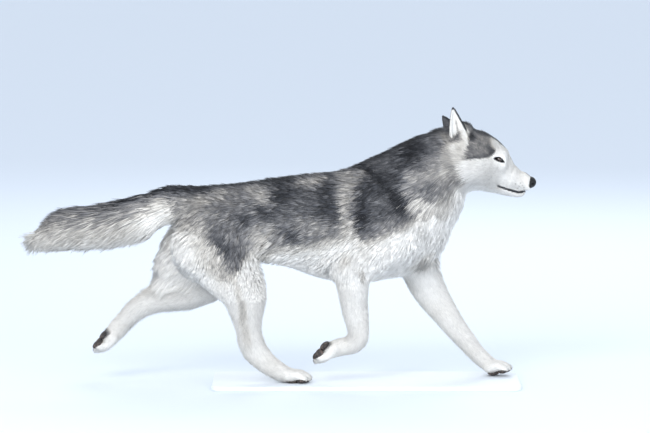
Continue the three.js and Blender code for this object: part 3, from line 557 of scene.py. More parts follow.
def coat_depth(p):
    """How far the skin lies under the coat's surface."""
    x, _, z = p.T
    head = head_share(p)
    return layered(
        13 + 4 * window(z, 380, 300),
        (13, window(x + 0.75 * z, 440, 520)),
        (5, leg_share(p)),
        (3, paw_share(p)),
        (2, window(x, -440, -490) * window(z, 330, 380)),
        (8, window(x, -400, -450) * window(z, 215, 260) * window(z, 400, 360)),
        (6, head),
        (2.2, window(x, 300, 345) * head),
        (0.8, window(x, 385, 400) * head),
        *((1.0, window(np.linalg.norm(p - eye, axis=1), 30, 16)) for eye in eyes),
    )


def nose_foot(p):
    """How high the foot of the nose is at each point."""
    return 493 + 0.9 * np.maximum(412 - p[:, 0], 0)


def skin_form(p):
    """The field of the bare skin."""
    depth = coat_depth(p)
    f = bare_body(p) + depth
    f = join(f, tail_core(p), 22)
    low = p[:, 2] < 175
    q = p[low]
    f[low] = join(f[low], paws(q) + 1.5, 8)
    close = near_head(p)
    q = p[close]
    g = join(head_form(q), nose_pad(q), 3) + depth[close]
    for one in ears:
        g = join(g, one(q) + 0.6, 6)
    g = lidded(g, q, 2.4)
    g = np.maximum(g, np.minimum(beyond(NOSE_BACK, q), q[:, 2] - nose_foot(q)) + 0.2)
    f[close] = np.where(q[:, 0] > 240, g, np.minimum(f[close], g))
    return np.maximum(f, FLOOR - p[:, 2])


def grid_line(*runs):
    """Places along an axis, from runs of start, end and step."""
    parts = [np.arange(start, end, step) for start, end, step in runs]
    return np.concatenate([*parts, [runs[-1][1]]])


BLOCK = 6  # grid lines on a side of the blocks that the search for the surface starts with


def wrap(field, lines):
    """The surface where a field is 0 on a grid of lines, as points and four-sided faces."""
    n = [len(line) for line in lines]
    value = np.ones(n, np.float32)
    starts = np.stack(np.meshgrid(*[np.arange(0, m, BLOCK) for m in n], indexing="ij"), -1).reshape(-1, 3)
    low = np.stack([lines[a][starts[:, a]] for a in range(3)], 1)
    high = np.stack([lines[a][np.minimum(starts[:, a] + BLOCK, n[a] - 1)] for a in range(3)], 1)
    middle = field((low + high) / 2)
    near = np.abs(middle) < 0.9 * np.linalg.norm(high - low, axis=1) + 1
    for i, j, k in starts[~near & (middle < 0)]:
        value[i : i + BLOCK, j : j + BLOCK, k : k + BLOCK] = -1
    offsets = np.stack(np.meshgrid(*[np.arange(BLOCK)] * 3, indexing="ij"), -1).reshape(-1, 3)
    nodes = (starts[near][:, None] + offsets).reshape(-1, 3)
    nodes = nodes[(nodes < n).all(1)]
    places = np.stack([lines[a][nodes[:, a]] for a in range(3)], 1)
    value[tuple(nodes.T)] = field(places)
    for a in range(3):
        for end in (0, -1):
            rim = np.moveaxis(value, a, 0)[end]
            np.maximum(rim, 0.5, out=rim)

    inside = value < 0
    count = np.zeros([m - 1 for m in n], np.int8)
    corners = [(i, j, k) for i in (0, 1) for j in (0, 1) for k in (0, 1)]
    for i, j, k in corners:
        count += inside[i : n[0] - 1 + i, j : n[1] - 1 + j, k : n[2] - 1 + k]
    cells = np.argwhere((count > 0) & (count < 8))
    number = np.full(count.shape, -1, np.int32)
    number[tuple(cells.T)] = np.arange(len(cells))
    at = {c: value[tuple((cells + c).T)] for c in corners}
    total = np.zeros((len(cells), 3))
    hits = np.zeros(len(cells))
    for p in corners:
        for q in corners:
            if q <= p or sum(abs(u - v) for u, v in zip(p, q)) != 1:
                continue
            cut = (at[p] < 0) != (at[q] < 0)
            t = np.where(cut, at[p] / np.where(cut, at[p] - at[q], 1), 0)
            total[cut] += np.array(p) + t[cut, None] * (np.array(q) - np.array(p))
            hits += cut
    inner = total / hits[:, None]
    points = np.empty((len(cells), 3))
    for a in range(3):
        step = np.diff(lines[a])
        points[:, a] = lines[a][cells[:, a]] + inner[:, a] * step[cells[:, a]]
    faces = []
    for a in range(3):
        one = np.moveaxis(inside, a, 0)
        change = np.moveaxis(one[1:] != one[:-1], 0, a)
        edges = np.argwhere(change)
        u = np.eye(3, dtype=int)[(a + 1) % 3]
        v = np.eye(3, dtype=int)[(a + 2) % 3]
        ring = [number[tuple((edges - s).T)] for s in (0 * u, u, u + v, v)]
        quads = np.stack(ring, 1)
        flip = ~inside[tuple(edges.T)]
        quads[flip] = quads[flip][:, ::-1]
        faces.append(quads)
    return points, np.concatenate(faces)


def slope(field, p, step):
    """The way a field rises at each point, as unit vectors."""
    rise = np.empty_like(p)
    for a in range(3):
        shift = np.zeros(3)
        shift[a] = step
        rise[:, a] = field(p + shift) - field(p - shift)
    return unit(rise)


lines = [
    grid_line((-816, -600, 3.5), (-600, -220, 6), (-220, -60, 3.2), (-60, 190, 6), (190, 432, 2.2)),
    grid_line((-112, -84, 4), (-84, 84, 2.6), (84, 114, 4)),
    grid_line((5, 130, 3.2), (130, 440, 6), (440, 500, 3.2), (500, 706, 2.2)),
]
skin_points, skin_faces = wrap(skin_form, lines)
skin_points -= skin_form(skin_points).clip(-2, 2)[:, None] * slope(skin_form, skin_points, 0.8)
skin_points[:, 2] = np.maximum(skin_points[:, 2], FLOOR)
skin_normals = slope(skin_form, skin_points, 1.5)


def noise(p, size, seed):
    """Smooth random numbers from -1 to 1 that change over a size in millimetres."""
    q = p / np.array(size) + 500
    cell = np.floor(q).astype(np.int64)
    t = q - cell
    t = t * t * (3 - 2 * t)
    total = np.zeros(len(p))
    for corner in ((i, j, k) for i in (0, 1) for j in (0, 1) for k in (0, 1)):
        c = cell + corner
        key = (c[:, 0] * 73856093) ^ (c[:, 1] * 19349663) ^ (c[:, 2] * 83492791) ^ (seed * 49979687)
        key = (key ^ (key >> 13)) * 1274126177 & 0xFFFFFFFF
        key = (key ^ (key >> 16)) & 0xFFFF
        weight = np.ones(len(p))
        for a in range(3):
            weight *= t[:, a] if corner[a] else 1 - t[:, a]
        total += weight * (key / 32767.5 - 1)
    return total


# The markings, as tone: 0 white, 1 black, with a painted sheen on the shoulder and a painted shadow behind
# the cheek among them. Each is a soft oval in the side view: centre x and z, half length, half height,
# the tilt of its length in degrees, its tone and how soft its rim is.
MARKS = [
    ("rump", -400, 450, 90, 70, 0, 0.47, 0.4),
    ("rump_arch_rear", -425, 462, 48, 13, 35, 0.38, 0.8),
    ("rump_arch_front", -345, 474, 42, 13, -25, 0.4, 0.8),
    ("rump_middle", -355, 444, 42, 17, 0, 0.62, 0.8),
    ("loin", -300, 470, 40, 50, 0, 0.6, 0.7),
    ("thigh", -348, 372, 66, 84, 8, 0.58, 0.45),
    ("hip_spot", -306, 418, 20, 11, -35, 0.88, 0.8),
    ("thigh_streak", -352, 346, 50, 16, -54, 0.8, 0.8),
    ("thigh_end", -332, 308, 16, 30, 8, 0.62, 0.7),
    ("thigh_rim", -420, 405, 30, 28, 0, 0.4, 0.7),
    ("knee_fold", -286, 345, 16, 44, 0, 0.5, 0.8),
    ("flank_fold", -250, 362, 30, 46, 10, 0.32, 0.9),
    ("saddle", -160, 462, 118, 62, 6, 0.7, 0.4),
    ("saddle_lower", -130, 408, 90, 28, 4, 0.5, 0.7),
    ("saddle_streak", -205, 480, 82, 19, 33, 0.9, 0.7),
    ("saddle_streak_foot", -246, 446, 24, 16, 20, 0.88, 0.8),
    ("saddle_top", -216, 512, 46, 11, -2, 0.84, 0.8),
    ("saddle_light_rear", -258, 478, 30, 15, -35, 0.36, 0.8),
    ("saddle_light_top", -140, 512, 38, 12, 18, 0.4, 0.8),
    ("saddle_patch", -88, 462, 40, 38, -10, 0.88, 0.7),
    ("saddle_edge", -84, 512, 14, 30, 0, 0.78, 0.8),
    ("flank_spot", -188, 380, 28, 15, -42, 0.84, 0.8),
    ("flank_spot_foot", -165, 350, 26, 14, -20, 0.5, 0.8),
    ("band", -47, 470, 19, 82, 3, 0.38, 0.5),
    ("band_foot", -42, 400, 20, 34, 0, 0.32, 0.7),
    ("band_top", -34, 526, 34, 16, 5, 0.46, 0.8),
    ("shoulder", 42, 452, 66, 74, -10, 0.76, 0.3),
    ("shoulder_front", 88, 470, 26, 36, -20, 0.88, 0.6),
    ("shoulder_top", 20, 502, 34, 20, 15, 0.86, 0.8),
    # painted sheen: a paler spot where light shines off the dark coat of the shoulder
    ("shoulder_shine", 44, 462, 26, 15, 0, 0.7, 0.9),
    ("shoulder_low", 62, 408, 48, 26, 12, 0.52, 0.7),
    ("shoulder_streak", -12, 432, 9, 46, -5, 1.0, 0.6),
    ("shoulder_streak_top", -8, 478, 11, 22, -10, 0.92, 0.7),
    ("wither_line", 22, 540, 42, 9, -24, 0.98, 0.7),
    ("wither_line_low", 74, 504, 50, 11, -50, 0.96, 0.7),
]
NECK_MARKS = [
    ("neck_top", 110, 590, 110, 44, 30, 0.72, 0.6),
    ("nape", 176, 622, 50, 26, 8, 0.7, 0.7),
    ("neck_blotch", 124, 592, 22, 28, -50, 0.9, 0.7),
    ("neck_blotch_low", 96, 562, 22, 24, 0, 0.86, 0.7),
    ("neck_foot", 82, 525, 16, 30, 12, 0.82, 0.7),
    ("ruff_middle", 188, 512, 27, 16, 0, 0.46, 0.8),
    ("ruff_streaks", 146, 494, 34, 26, 8, 0.58, 0.8),
    ("ruff_streaks_low", 174, 466, 26, 10, 0, 0.3, 0.9),
    # painted shadow: a narrow dark line on the neck just behind the cheek, where the cheek overhangs it
    ("behind_cheek", 232, 508, 7, 22, 25, 0.55, 0.8),
    ("under_ear", 205, 600, 14, 34, 12, 0.3, 0.8),
]
LOW_MARKS = [
    ("hock_streak", -308, 196, 9, 60, 8, 0.3, 0.9),
    ("hock_streak_low", -292, 132, 7, 30, 10, 0.2, 0.9),
    ("breech_cream", -392, 338, 58, 22, -48, 0.2, 0.9),
    ("breech_streaks", -362, 300, 44, 9, -42, 0.3, 0.9),
    ("elbow", -12, 281, 6, 12, 10, 0.42, 0.9),
    ("elbow_fold", -52, 322, 12, 22, -20, 0.22, 0.9),
    ("armpit", 146, 306, 26, 15, 45, 0.32, 0.9),
]
# Where the grey of the sides turns into the white of the belly: x and z
WHITE_FROM = [
    (-470, 400), (-450, 372), (-415, 338), (-375, 302), (-345, 274), (-318, 292),
    (-296, 340), (-255, 336), (-215, 345), (-170, 350), (-120, 364), (-60, 376),
    (0, 377), (50, 388), (90, 408), (120, 428), (180, 440), (240, 470),
]


def oval(p, x, z, long, high, tilt, soft):
    """1 inside an oval of the side view and 0 outside."""
    c, s = math.cos(math.radians(tilt)), math.sin(math.radians(tilt))
    dx, dz = p[:, 0] - x, p[:, 2] - z
    r = np.sqrt(((dx * c + dz * s) / long) ** 2 + ((dz * c - dx * s) / high) ** 2)
    return window(r, 1 + soft, 1 - soft)


def marks(p, table):
    """The layers of a table of ovals."""
    return [(aim, oval(p, *place, soft)) for _, *place, aim, soft in table]


def line_at(v, table):
    """The height of a line through points, at v."""
    return np.interp(v, *np.array(table, float).T)


def strayed(p, size, way, seed):
    """Points moved a little, so that the rims of the markings run in and out like hair."""
    return p + vec(noise(p, size, seed), 0, noise(p, size, seed + 1)) * way


def neck_along(x, z):
    """How far a place lies along the neck, from the middle of its foot."""
    return (x - 120) * 0.82 + (z - 486) * 0.573


TAIL_TOP = [
    (470, 495), (510, 495), (525, 490), (555, 474), (600, 462), (700, 448), (780, 442), (805, 426), (840, 360)
]
BACK = [
    (-800, 440), (-700, 448), (-600, 462), (-555, 474), (-525, 486), (-500, 482), (-390, 482),
    (-300, 508), (-200, 524), (-100, 540), (0, 552), (60, 580), (130, 620), (200, 640),
]
CREST = [
    (-700, 0), (-620, 1), (-480, 1), (-450, 1.1), (-395, 1.1), (-380, 0.8),
    (-130, 0.8), (-110, 1), (-90, 0.8), (0, 0.8), (100, 0.7), (230, 0.6),
]


def tone_of(p):
    """The tone of the body at each point."""
    q = strayed(strayed(p, 34, 8, 3), 12, 4, 5)
    x, _, z = q.T
    neck_foot = line_at(x, [(0, 552), (60, 520), (112, 470)])
    on_neck = window(neck_along(x, z), -52, -8) * window(z - neck_foot, -6, 8)
    on_neck = np.maximum(on_neck, window(x, 104, 116) * window(z, 440, 452))
    neck_tone = layered(
        0.37,
        *marks(q, NECK_MARKS),
        (0.14, window(z, 492, 440)),
        (0.08, window(x - 185 - 0.37 * (z - 388), -14, 10) * window(z, 508, 494)),
    )
    soft = 22 + 16 * window(x, -325, -380)
    tone = layered(
        0.6,
        *marks(q, MARKS),
        (neck_tone, on_neck),
        # belly, chest and legs
        (0.03, window(z - line_at(x, WHITE_FROM), soft, -soft)),
        (0.05, window(z, 285, 262)),
        (0.07, window(x, -396, -430) * window(z, 412, 388) * window(x, -560, -520)),
        *marks(q, LOW_MARKS),
    )
    cream = noise(p, 60, 40).clip(0, 1) * window(p[:, 2], 420, 360)
    tone = tone + 0.06 * cream * (tone < 0.2)
    dark_sole = np.zeros(len(p))
    for paw in PAWS.values():
        offset = p - paw["at"]
        under = -(offset @ paw["top"])
        ahead = offset @ paw["toes"]
        near = window(ahead, -34, -22) * window(ahead, 52, 40) * (np.abs(offset[:, 1]) < 40)
        dark_sole = np.maximum(dark_sole, near * window(under, 8, 13) * window(under, 45, 30))
    # tail: dark above, pale below and at its root; further along, the underside is painted a little paler
    # still, as painted light against the shade under it
    under = line_at(-x, TAIL_TOP) - z
    root = line_at(under, [(0, 0.56), (24, 0.5), (44, 0.2), (60, 0.12)])
    # these underside steps are partly the tail's own pale colour and partly painted light that offsets the
    # shade beneath the tail
    further = line_at(under, [(0, 0.66), (18, 0.58), (35, 0.42), (55, 0.3), (95, 0.1)])
    tail_end = window(x + 0.35 * (z - 400), -775, -812)
    tail_tone = layered(root, (further, window(-x, 560, 610)), (0.16, tail_end))
    # the dark line along the back and the tail
    wide = line_at(x, [(-495, 38), (-465, 58), (-395, 58), (-375, 38)])
    crest = window(np.abs(p[:, 1]) / wide, 1, 0.32) * window(p[:, 2] - line_at(x, BACK), -16, -3)
    tone = layered(
        tone,
        (0.62, dark_sole),
        (tail_tone, window(x, -466, -500) * window(z, 325, 345)),
        (0.96, (crest * line_at(x, CREST)).clip(0, 1)),
    )
    return tone.clip(0, 1)


MASK_FOOT = [(226, 562), (236, 571), (262, 574), (300, 577), (310, 580), (320, 590), (323, 600), (330, 640)]
MASK_REAR = [(572, 236), (593, 245), (609, 252), (628, 258), (643, 254), (655, 247)]
CROWN_FOOT = [(200, 612), (250, 618), (262, 630), (300, 622), (340, 590)]
DOTS = [(372, 506), (380, 500), (389, 502), (385, 508), (393, 497), (377, 494)]


def head_tone(p):
    """The tone of the head: white face, grey mask over brow and skull, a dark line down the forehead."""
    q = strayed(p, 9, 2, 8)
    x, _, z = q.T
    ay = np.abs(p[:, 1])
    over = z - line_at(x, MASK_FOOT)
    mask = window(over, -2.5, 3) * window(x, 327, 320) * window(x - line_at(z, MASK_REAR), -3, 3)
    wide = line_at(x, [(240, 40), (290, 32), (318, 15), (345, 12)])
    crown = window(z - line_at(x, CROWN_FOOT), -4, 4)
    lip = window(np.abs(p[:, 2] - mouth_height(p[:, 0]) + 0.6), 3.6, 1.8)
    lip *= window(p[:, 0], MOUTH["corner"] - 4, MOUTH["corner"] + 4) * window(p[:, 0], 404, 400)
    tone = layered(
        0.02 + 0.07 * window(x, 376, 392),
        # the mask, with its lower edge darker, and where it meets the brow
        (0.53 + 0.12 * noise(p, 9, 60), mask),
        (0.76, mask * window(over, 13, 1)),
        (0.86, mask * oval(q, 312, 596, 10, 14, 30, 0.8) * 0.7),
        # white brows
        (0.03, oval(q, 334, 597, 34, 13, -46, 0.4) * window(ay, 9, 14)),
        # dark line down the middle of the forehead, which fades on the bridge of the nose
        (0.8, window(ay, 13, 8) * window(x, 362, 346) * window(z, 556, 570)),
        (0.26, window(ay, 12, 4) * window(x, 340, 356) * window(z - 545 + 0.55 * (x - 380), -6, 2)),
        (0.45, window(ay, 8, 4) * window(x, 390, 402) * window(z, 512, 518)),
        # crown and back of the head
        (0.8, crown * window(ay, wide, wide * 0.6) * window(x, 356, 344)),
        (0.68, window(x, 240, 226) * window(z, 606, 618) * window(ay, 70, 62)),
        # cream hair under the ear and a dark spot at its front foot
        (0.2, oval(q, 230, 590, 13, 30, -14, 0.6)),
        (0.92, oval(q, 263, 626, 9, 10, 30, 0.7) * 0.9),
        # dark rims of the eyes and lips, and the whiskers' dots
        *((1.0, window(gap(p), 2.8, 1.4)) for gap in slits),
        (0.95, lip),
        *((0.5, oval(p, *dot, 1.5, 1.5, 0, 0.5)) for dot in DOTS),
    )
    return tone.clip(0, 1)


def ear_tone(p):
    """White hair in the cup of each ear with painted shade down the fold in its middle, dark grey behind it
    and a black front rim.
    """
    tone = 0.8
    for side, e in EARS.items():
        mine = p[:, 1] * side > 0
        tall = np.linalg.norm(e["tip"] - e["base"])
        axis = (e["tip"] - e["base"]) / tall
        out = unit(e["open"] - (e["open"] @ axis) * axis)
        from_base = p - e["base"]
        facing = from_base @ out
        wide = from_base @ (np.cross(axis, out) * side)
        along = from_base @ axis / tall
        half = line_at(along, [(0, 23), (0.35, 21), (0.75, 11), (1, 4)])
        inner = window(facing - line_at(along, [(0, -3), (0.8, -1)]), -3, 1)
        # painted shade: grey down the fold in the middle of the cup, where the hollow lies in shade
        painted_fold_shade = 0.34 * window(np.abs(wide + 1), 4, 1) * window(along, 0.05, 0.2) * window(along, 0.8, 0.6)
        front = window(-wide - half, -5.2, -2.4) * window(along, 0.15, 0.4)
        front = np.maximum(front, window(along, 0.95, 1.0))
        tone = layered(tone, (0.05 + painted_fold_shade, inner * mine), (1.0, front * mine))
    return tone


def all_tones(p):
    """One tone for skin and coat, wherever a point lies."""
    tone = tone_of(p)
    on_head = window(beyond(((226, 0, 552), (0.949, 0, 0.316)), p), -6, 5)
    for share, tone_there in ((on_head, head_tone), (ear_share(p), ear_tone)):
        close = share > 0
        tone[close] = layered(tone[close], (tone_there(p[close]), share[close]))
    return tone


TONES = [
    (0.0, (247, 245, 241)),
    (0.15, (228, 224, 217)),
    (0.3, (190, 185, 178)),
    (0.5, (134, 133, 134)),
    (0.75, (72, 74, 80)),
    (1.0, (17, 18, 21)),
]


def colours_of(tone):
    """The colour of a tone, as light."""
    places = [place for place, _ in TONES]
    channels = np.array([linear(*colour) for _, colour in TONES]).T
    return vec(*(np.interp(tone, places, channel) for channel in channels))


def mesh_of(name, points, faces, colour=None, normals=None, uv=None):
    """A smooth mesh from arrays: points in millimetres, and faces that all have the same count of corners."""
    mesh = bpy.data.meshes.new(name)
    corners = faces.ravel()
    mesh.vertices.add(len(points))
    mesh.vertices.foreach_set("co", (points * 0.001).astype(np.float32).ravel())
    mesh.loops.add(len(corners))
    mesh.loops.foreach_set("vertex_index", corners.astype(np.int32))
    mesh.polygons.add(len(faces))
    mesh.polygons.foreach_set("loop_start", np.arange(0, len(corners), faces.shape[1], dtype=np.int32))
    mesh.update(calc_edges=True)
    mesh.polygons.foreach_set("use_smooth", np.ones(len(faces), bool))
    if colour is not None:
        layer = mesh.attributes.new("coat_colour", "FLOAT_COLOR", "POINT")
        layer.data.foreach_set("color", colour.astype(np.float32).ravel())
    if uv is not None:
        layer = mesh.uv_layers.new(name="OFBake")
        layer.uv.foreach_set("vector", uv[corners].astype(np.float32).ravel())
    if normals is not None:
        mesh.normals_split_custom_set_from_vertices(normals)
    mesh.validate()
    return mesh


def place_piece(name, mesh, finish, slot, *nodes):
    """Sets a finished mesh in the frame, riding on the still model."""
    mesh.materials.append(finish.material)
    piece = new_object(name, mesh)
    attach(piece, "root")
    if nodes:
        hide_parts(*nodes)


skin_finish = Finish("skin_and_undercoat", Roughness=0.8, Specular_IOR_Level=0.25)
skin_finish.feed(
    Base_Color=skin_finish.mix(
        skin_finish.noise(900, 3) * 0.16, skin_finish.painted(), (0.25, 0.23, 0.21, 1), "MULTIPLY"
    ),
    Normal=skin_finish.bump(skin_finish.noise(700, 4) + 0.5 * skin_finish.noise(260, 2), 0.45, 0.0008),
)
skin_depth = coat_depth(skin_points) * (1 - ear_share(skin_points))
skin_tone = all_tones(skin_points + skin_normals * skin_depth[:, None])
skin_mesh = mesh_of("skin", skin_points, skin_faces, colours_of(skin_tone * 0.85))
FLESH = ["torso", "neck", "head", "ear_right", "ear_left", "tail"]
for part in ("foreleg", "forepaw", "thigh", "shank", "hindpaw"):
    FLESH += [f"{part}_right", f"{part}_left"]
place_piece("skin", skin_mesh, skin_finish, "white_coat", *FLESH)

# The coat: thousands of tapered, bent tufts that grow from the skin, lie back along the body and come
# together in points. The undercoat at their roots is paler than the guard hair at their tips.
NAPE = ((222, 0, 551), (0.949, 0, 0.316))
WITHERS = ((120, 0, 466), (0.782, 0, 0.623))


def span_heading(rows, p):
    """The way a limb runs beside each point, in the side view."""
    spans = smooth_rows(rows, 3)
    middle = (spans[1:, :3] + spans[:-1, :3]) / 2
    d = np.linalg.norm(p[:, None, ::2] - middle[None, :, ::2], axis=2)
    weight = np.exp(-((d / 30) ** 2)) + 1e-9
    return unit(weight @ unit(np.diff(spans[:, :3], axis=0)))


def lie(p):
    """The way the hair lies at each point, before it is laid on the skin."""
    x, y, z = p.T
    total = np.zeros_like(p)

    def add(field, way):
        weight = np.exp(-np.maximum(field(p) + 16, 0) / 14)
        total[:] += weight[:, None] * way

    down = window(z, 470, 360)
    add(trunk, vec(-1, 0, -0.12 - 0.5 * down * window(z, 290, 330)))
    above = (z - 486) * 0.82 - (x - 120) * 0.573
    low = window(above, 60, -80)
    add(neck, vec(-0.85 + 0.4 * low, 0, -0.35 - 0.65 * low))
    under = window(z - line_at(-x, [(470, 468), (600, 436), (700, 426), (800, 420)]), 12, -30)
    under = np.maximum(under, window(x, -745, -790))
    add(tail, 3 * vec(-1, 0.12 * np.sign(y), -0.06 - 0.8 * under))
    for side in (-1, 1):
        shoulder, foreleg, thigh, shank = (part for part, _ in legs[side])
        add(shoulder, vec(-0.35, 0, -0.9))
        add(foreleg, span_heading(FORELEG[side], p) * 2)
        forward = 0.35 * window(z, 400, 300) * (1 - window(x, -400, -430))
        add(thigh, 1.5 * vec(-0.6 + forward, 0, -0.8))
        add(shank, span_heading(SHANK[side], p) * 2)
    for paw in PAWS.values():
        near = window(np.linalg.norm(p - paw["at"], axis=1), 75, 30)
        total += 4 * near[:, None] * paw["toes"]
    head = window(beyond(NAPE, p), -10, 20)[:, None]
    from_nose = unit(p - vec(428, 0, 500))
    from_nose[:, 2] -= 0.45 * window(x, 300, 250) * window(z, 580, 560)
    total = total * (1 - head) + from_nose * (head * 3)
    on_ear = ear_share(p)
    for side, e in EARS.items():
        mine = (on_ear * (y * side > 0))[:, None]
        total = total * (1 - mine) + 3 * mine * (e["tip"] - e["base"]) / 90
    return unit(total)


def hair_length(p):
    """How long the hair is at each point."""
    x, _, z = p.T
    ruff = window(neck_along(x, z), -50, 10) * window(z, 420, 460)
    on_tail = window(x, -470, -520) * window(z, 325, 345)
    return layered(
        34 + 16 * ruff + 8 * window(z, 330, 290) * window(x, -330, -200),
        (13, leg_share(p)),
        (46, window(x, -410, -440) * window(z, 400, 370) * window(z, 230, 252)),
        (8, paw_share(p)),
        (84, on_tail),
        (74, window(x, -735, -775) * on_tail),
        (line_at(x, [(235, 24), (262, 14), (300, 8), (340, 5), (390, 3.6)]), head_share(p)),
        (9, window(ear_field(p), 16, 5) * window(z, 580, 605)),
        (5, ear_share(p)),
    )


def fullness(p):
    """How far the hair reaches past the solids, at the chest and where the far thigh meets its hock."""
    x, _, z = p.T
    chest = window(x, 128, 155) * window(z, 352, 335) * window(z, 306, 324)
    hock = window(x, -440, -480) * window(z, 320, 275) * window(z, 212, 232)
    return 6 * chest + 11 * hock


def hair_width(p):
    """How wide the foot of a tuft is at each point."""
    on_face = line_at(p[:, 0], [(235, 2.6), (270, 1.9), (310, 1.4), (380, 1.1)])
    return layered(
        3.3, (2.1, leg_share(p)), (1.7, paw_share(p)), (on_face, head_share(p)), (1.4, ear_share(p))
    )


triangles = np.concatenate([skin_faces[:, [0, 1, 2]], skin_faces[:, [0, 2, 3]]])
corner_points = skin_points[triangles]
centres = corner_points.mean(1)
edges = corner_points[:, 1:] - corner_points[:, :1]
areas = np.linalg.norm(np.cross(edges[:, 0], edges[:, 1]), axis=1) / 2

cx, cy, cz = (centres + 9 * vec(*(noise(centres, 16, n) for n in (90, 91, 92)))).T
on_ear = ear_share(centres) > 0.5
on_head = (beyond(NAPE, centres) > 0) & ~on_ear
on_neck = (beyond(WITHERS, centres) > -6) & ~on_head & ~on_ear & (cz > 300)
on_tail = (cx < -468 + 0.25 * (cz - 420)) & (cz > 370)
low_fore = (cx > -150) & (cz < 262)
low_hind = (cx < -140) & (cz < np.where(cy < 0, 225, 235)) & ~on_tail
low_hind |= (cx < -505) & (cz < 300)
on_thigh = (cx < -250) & (cz < 400) & ~on_tail & ~low_hind & (np.abs(cy) > 18)
REGIONS = {
    "head": on_head,
    "ears": on_ear,
    "neck": on_neck & ~low_fore,
    "tail": on_tail,
    "forelegs": low_fore,
    "hindlegs": low_hind,
    "thighs": on_thigh,
    "torso": ~(on_head | on_ear | on_neck | on_tail | low_fore | low_hind | on_thigh),
}


MIDDLE = [
    (-840, 390), (-600, 415), (-460, 450), (0, 402), (80, 440), (200, 550), (260, 575), (340, 540), (420, 500)
]


def unwrap(p, region):
    """Each root's place on a flat lay-out of the skin: along the body or limb, and round it."""
    x, y, z = p.T
    if region in ("forelegs", "hindlegs", "thighs", "ears"):
        u = (z - z.min()) / np.ptp(z)
        across = np.abs(y) - 48 if region == "ears" else y - np.where(y < 0, -59, 59)
        ahead = x - 215 if region == "ears" else x - (x.min() + x.max()) / 2 + 0.001
        v = (np.arctan2(across, ahead) / (2 * math.pi) + 0.5) * 0.5 + 0.5 * (y > 0)
    else:
        u = (x - x.min()) / np.ptp(x)
        v = np.arctan2(y, z - line_at(x, MIDDLE)) / (2 * math.pi) + 0.5
    return vec(u, v) * 0.96 + 0.02


coat_finish = Finish("guard_hair", Roughness=0.62, Specular_IOR_Level=0.22)
coat_finish.feed(
    Base_Color=coat_finish.mix(
        coat_finish.noise(420, 2) * 0.22, coat_finish.painted(), (0.5, 0.48, 0.46, 1), "MULTIPLY"
    ),
    Roughness=0.5 + 0.25 * coat_finish.noise(120, 1),
)


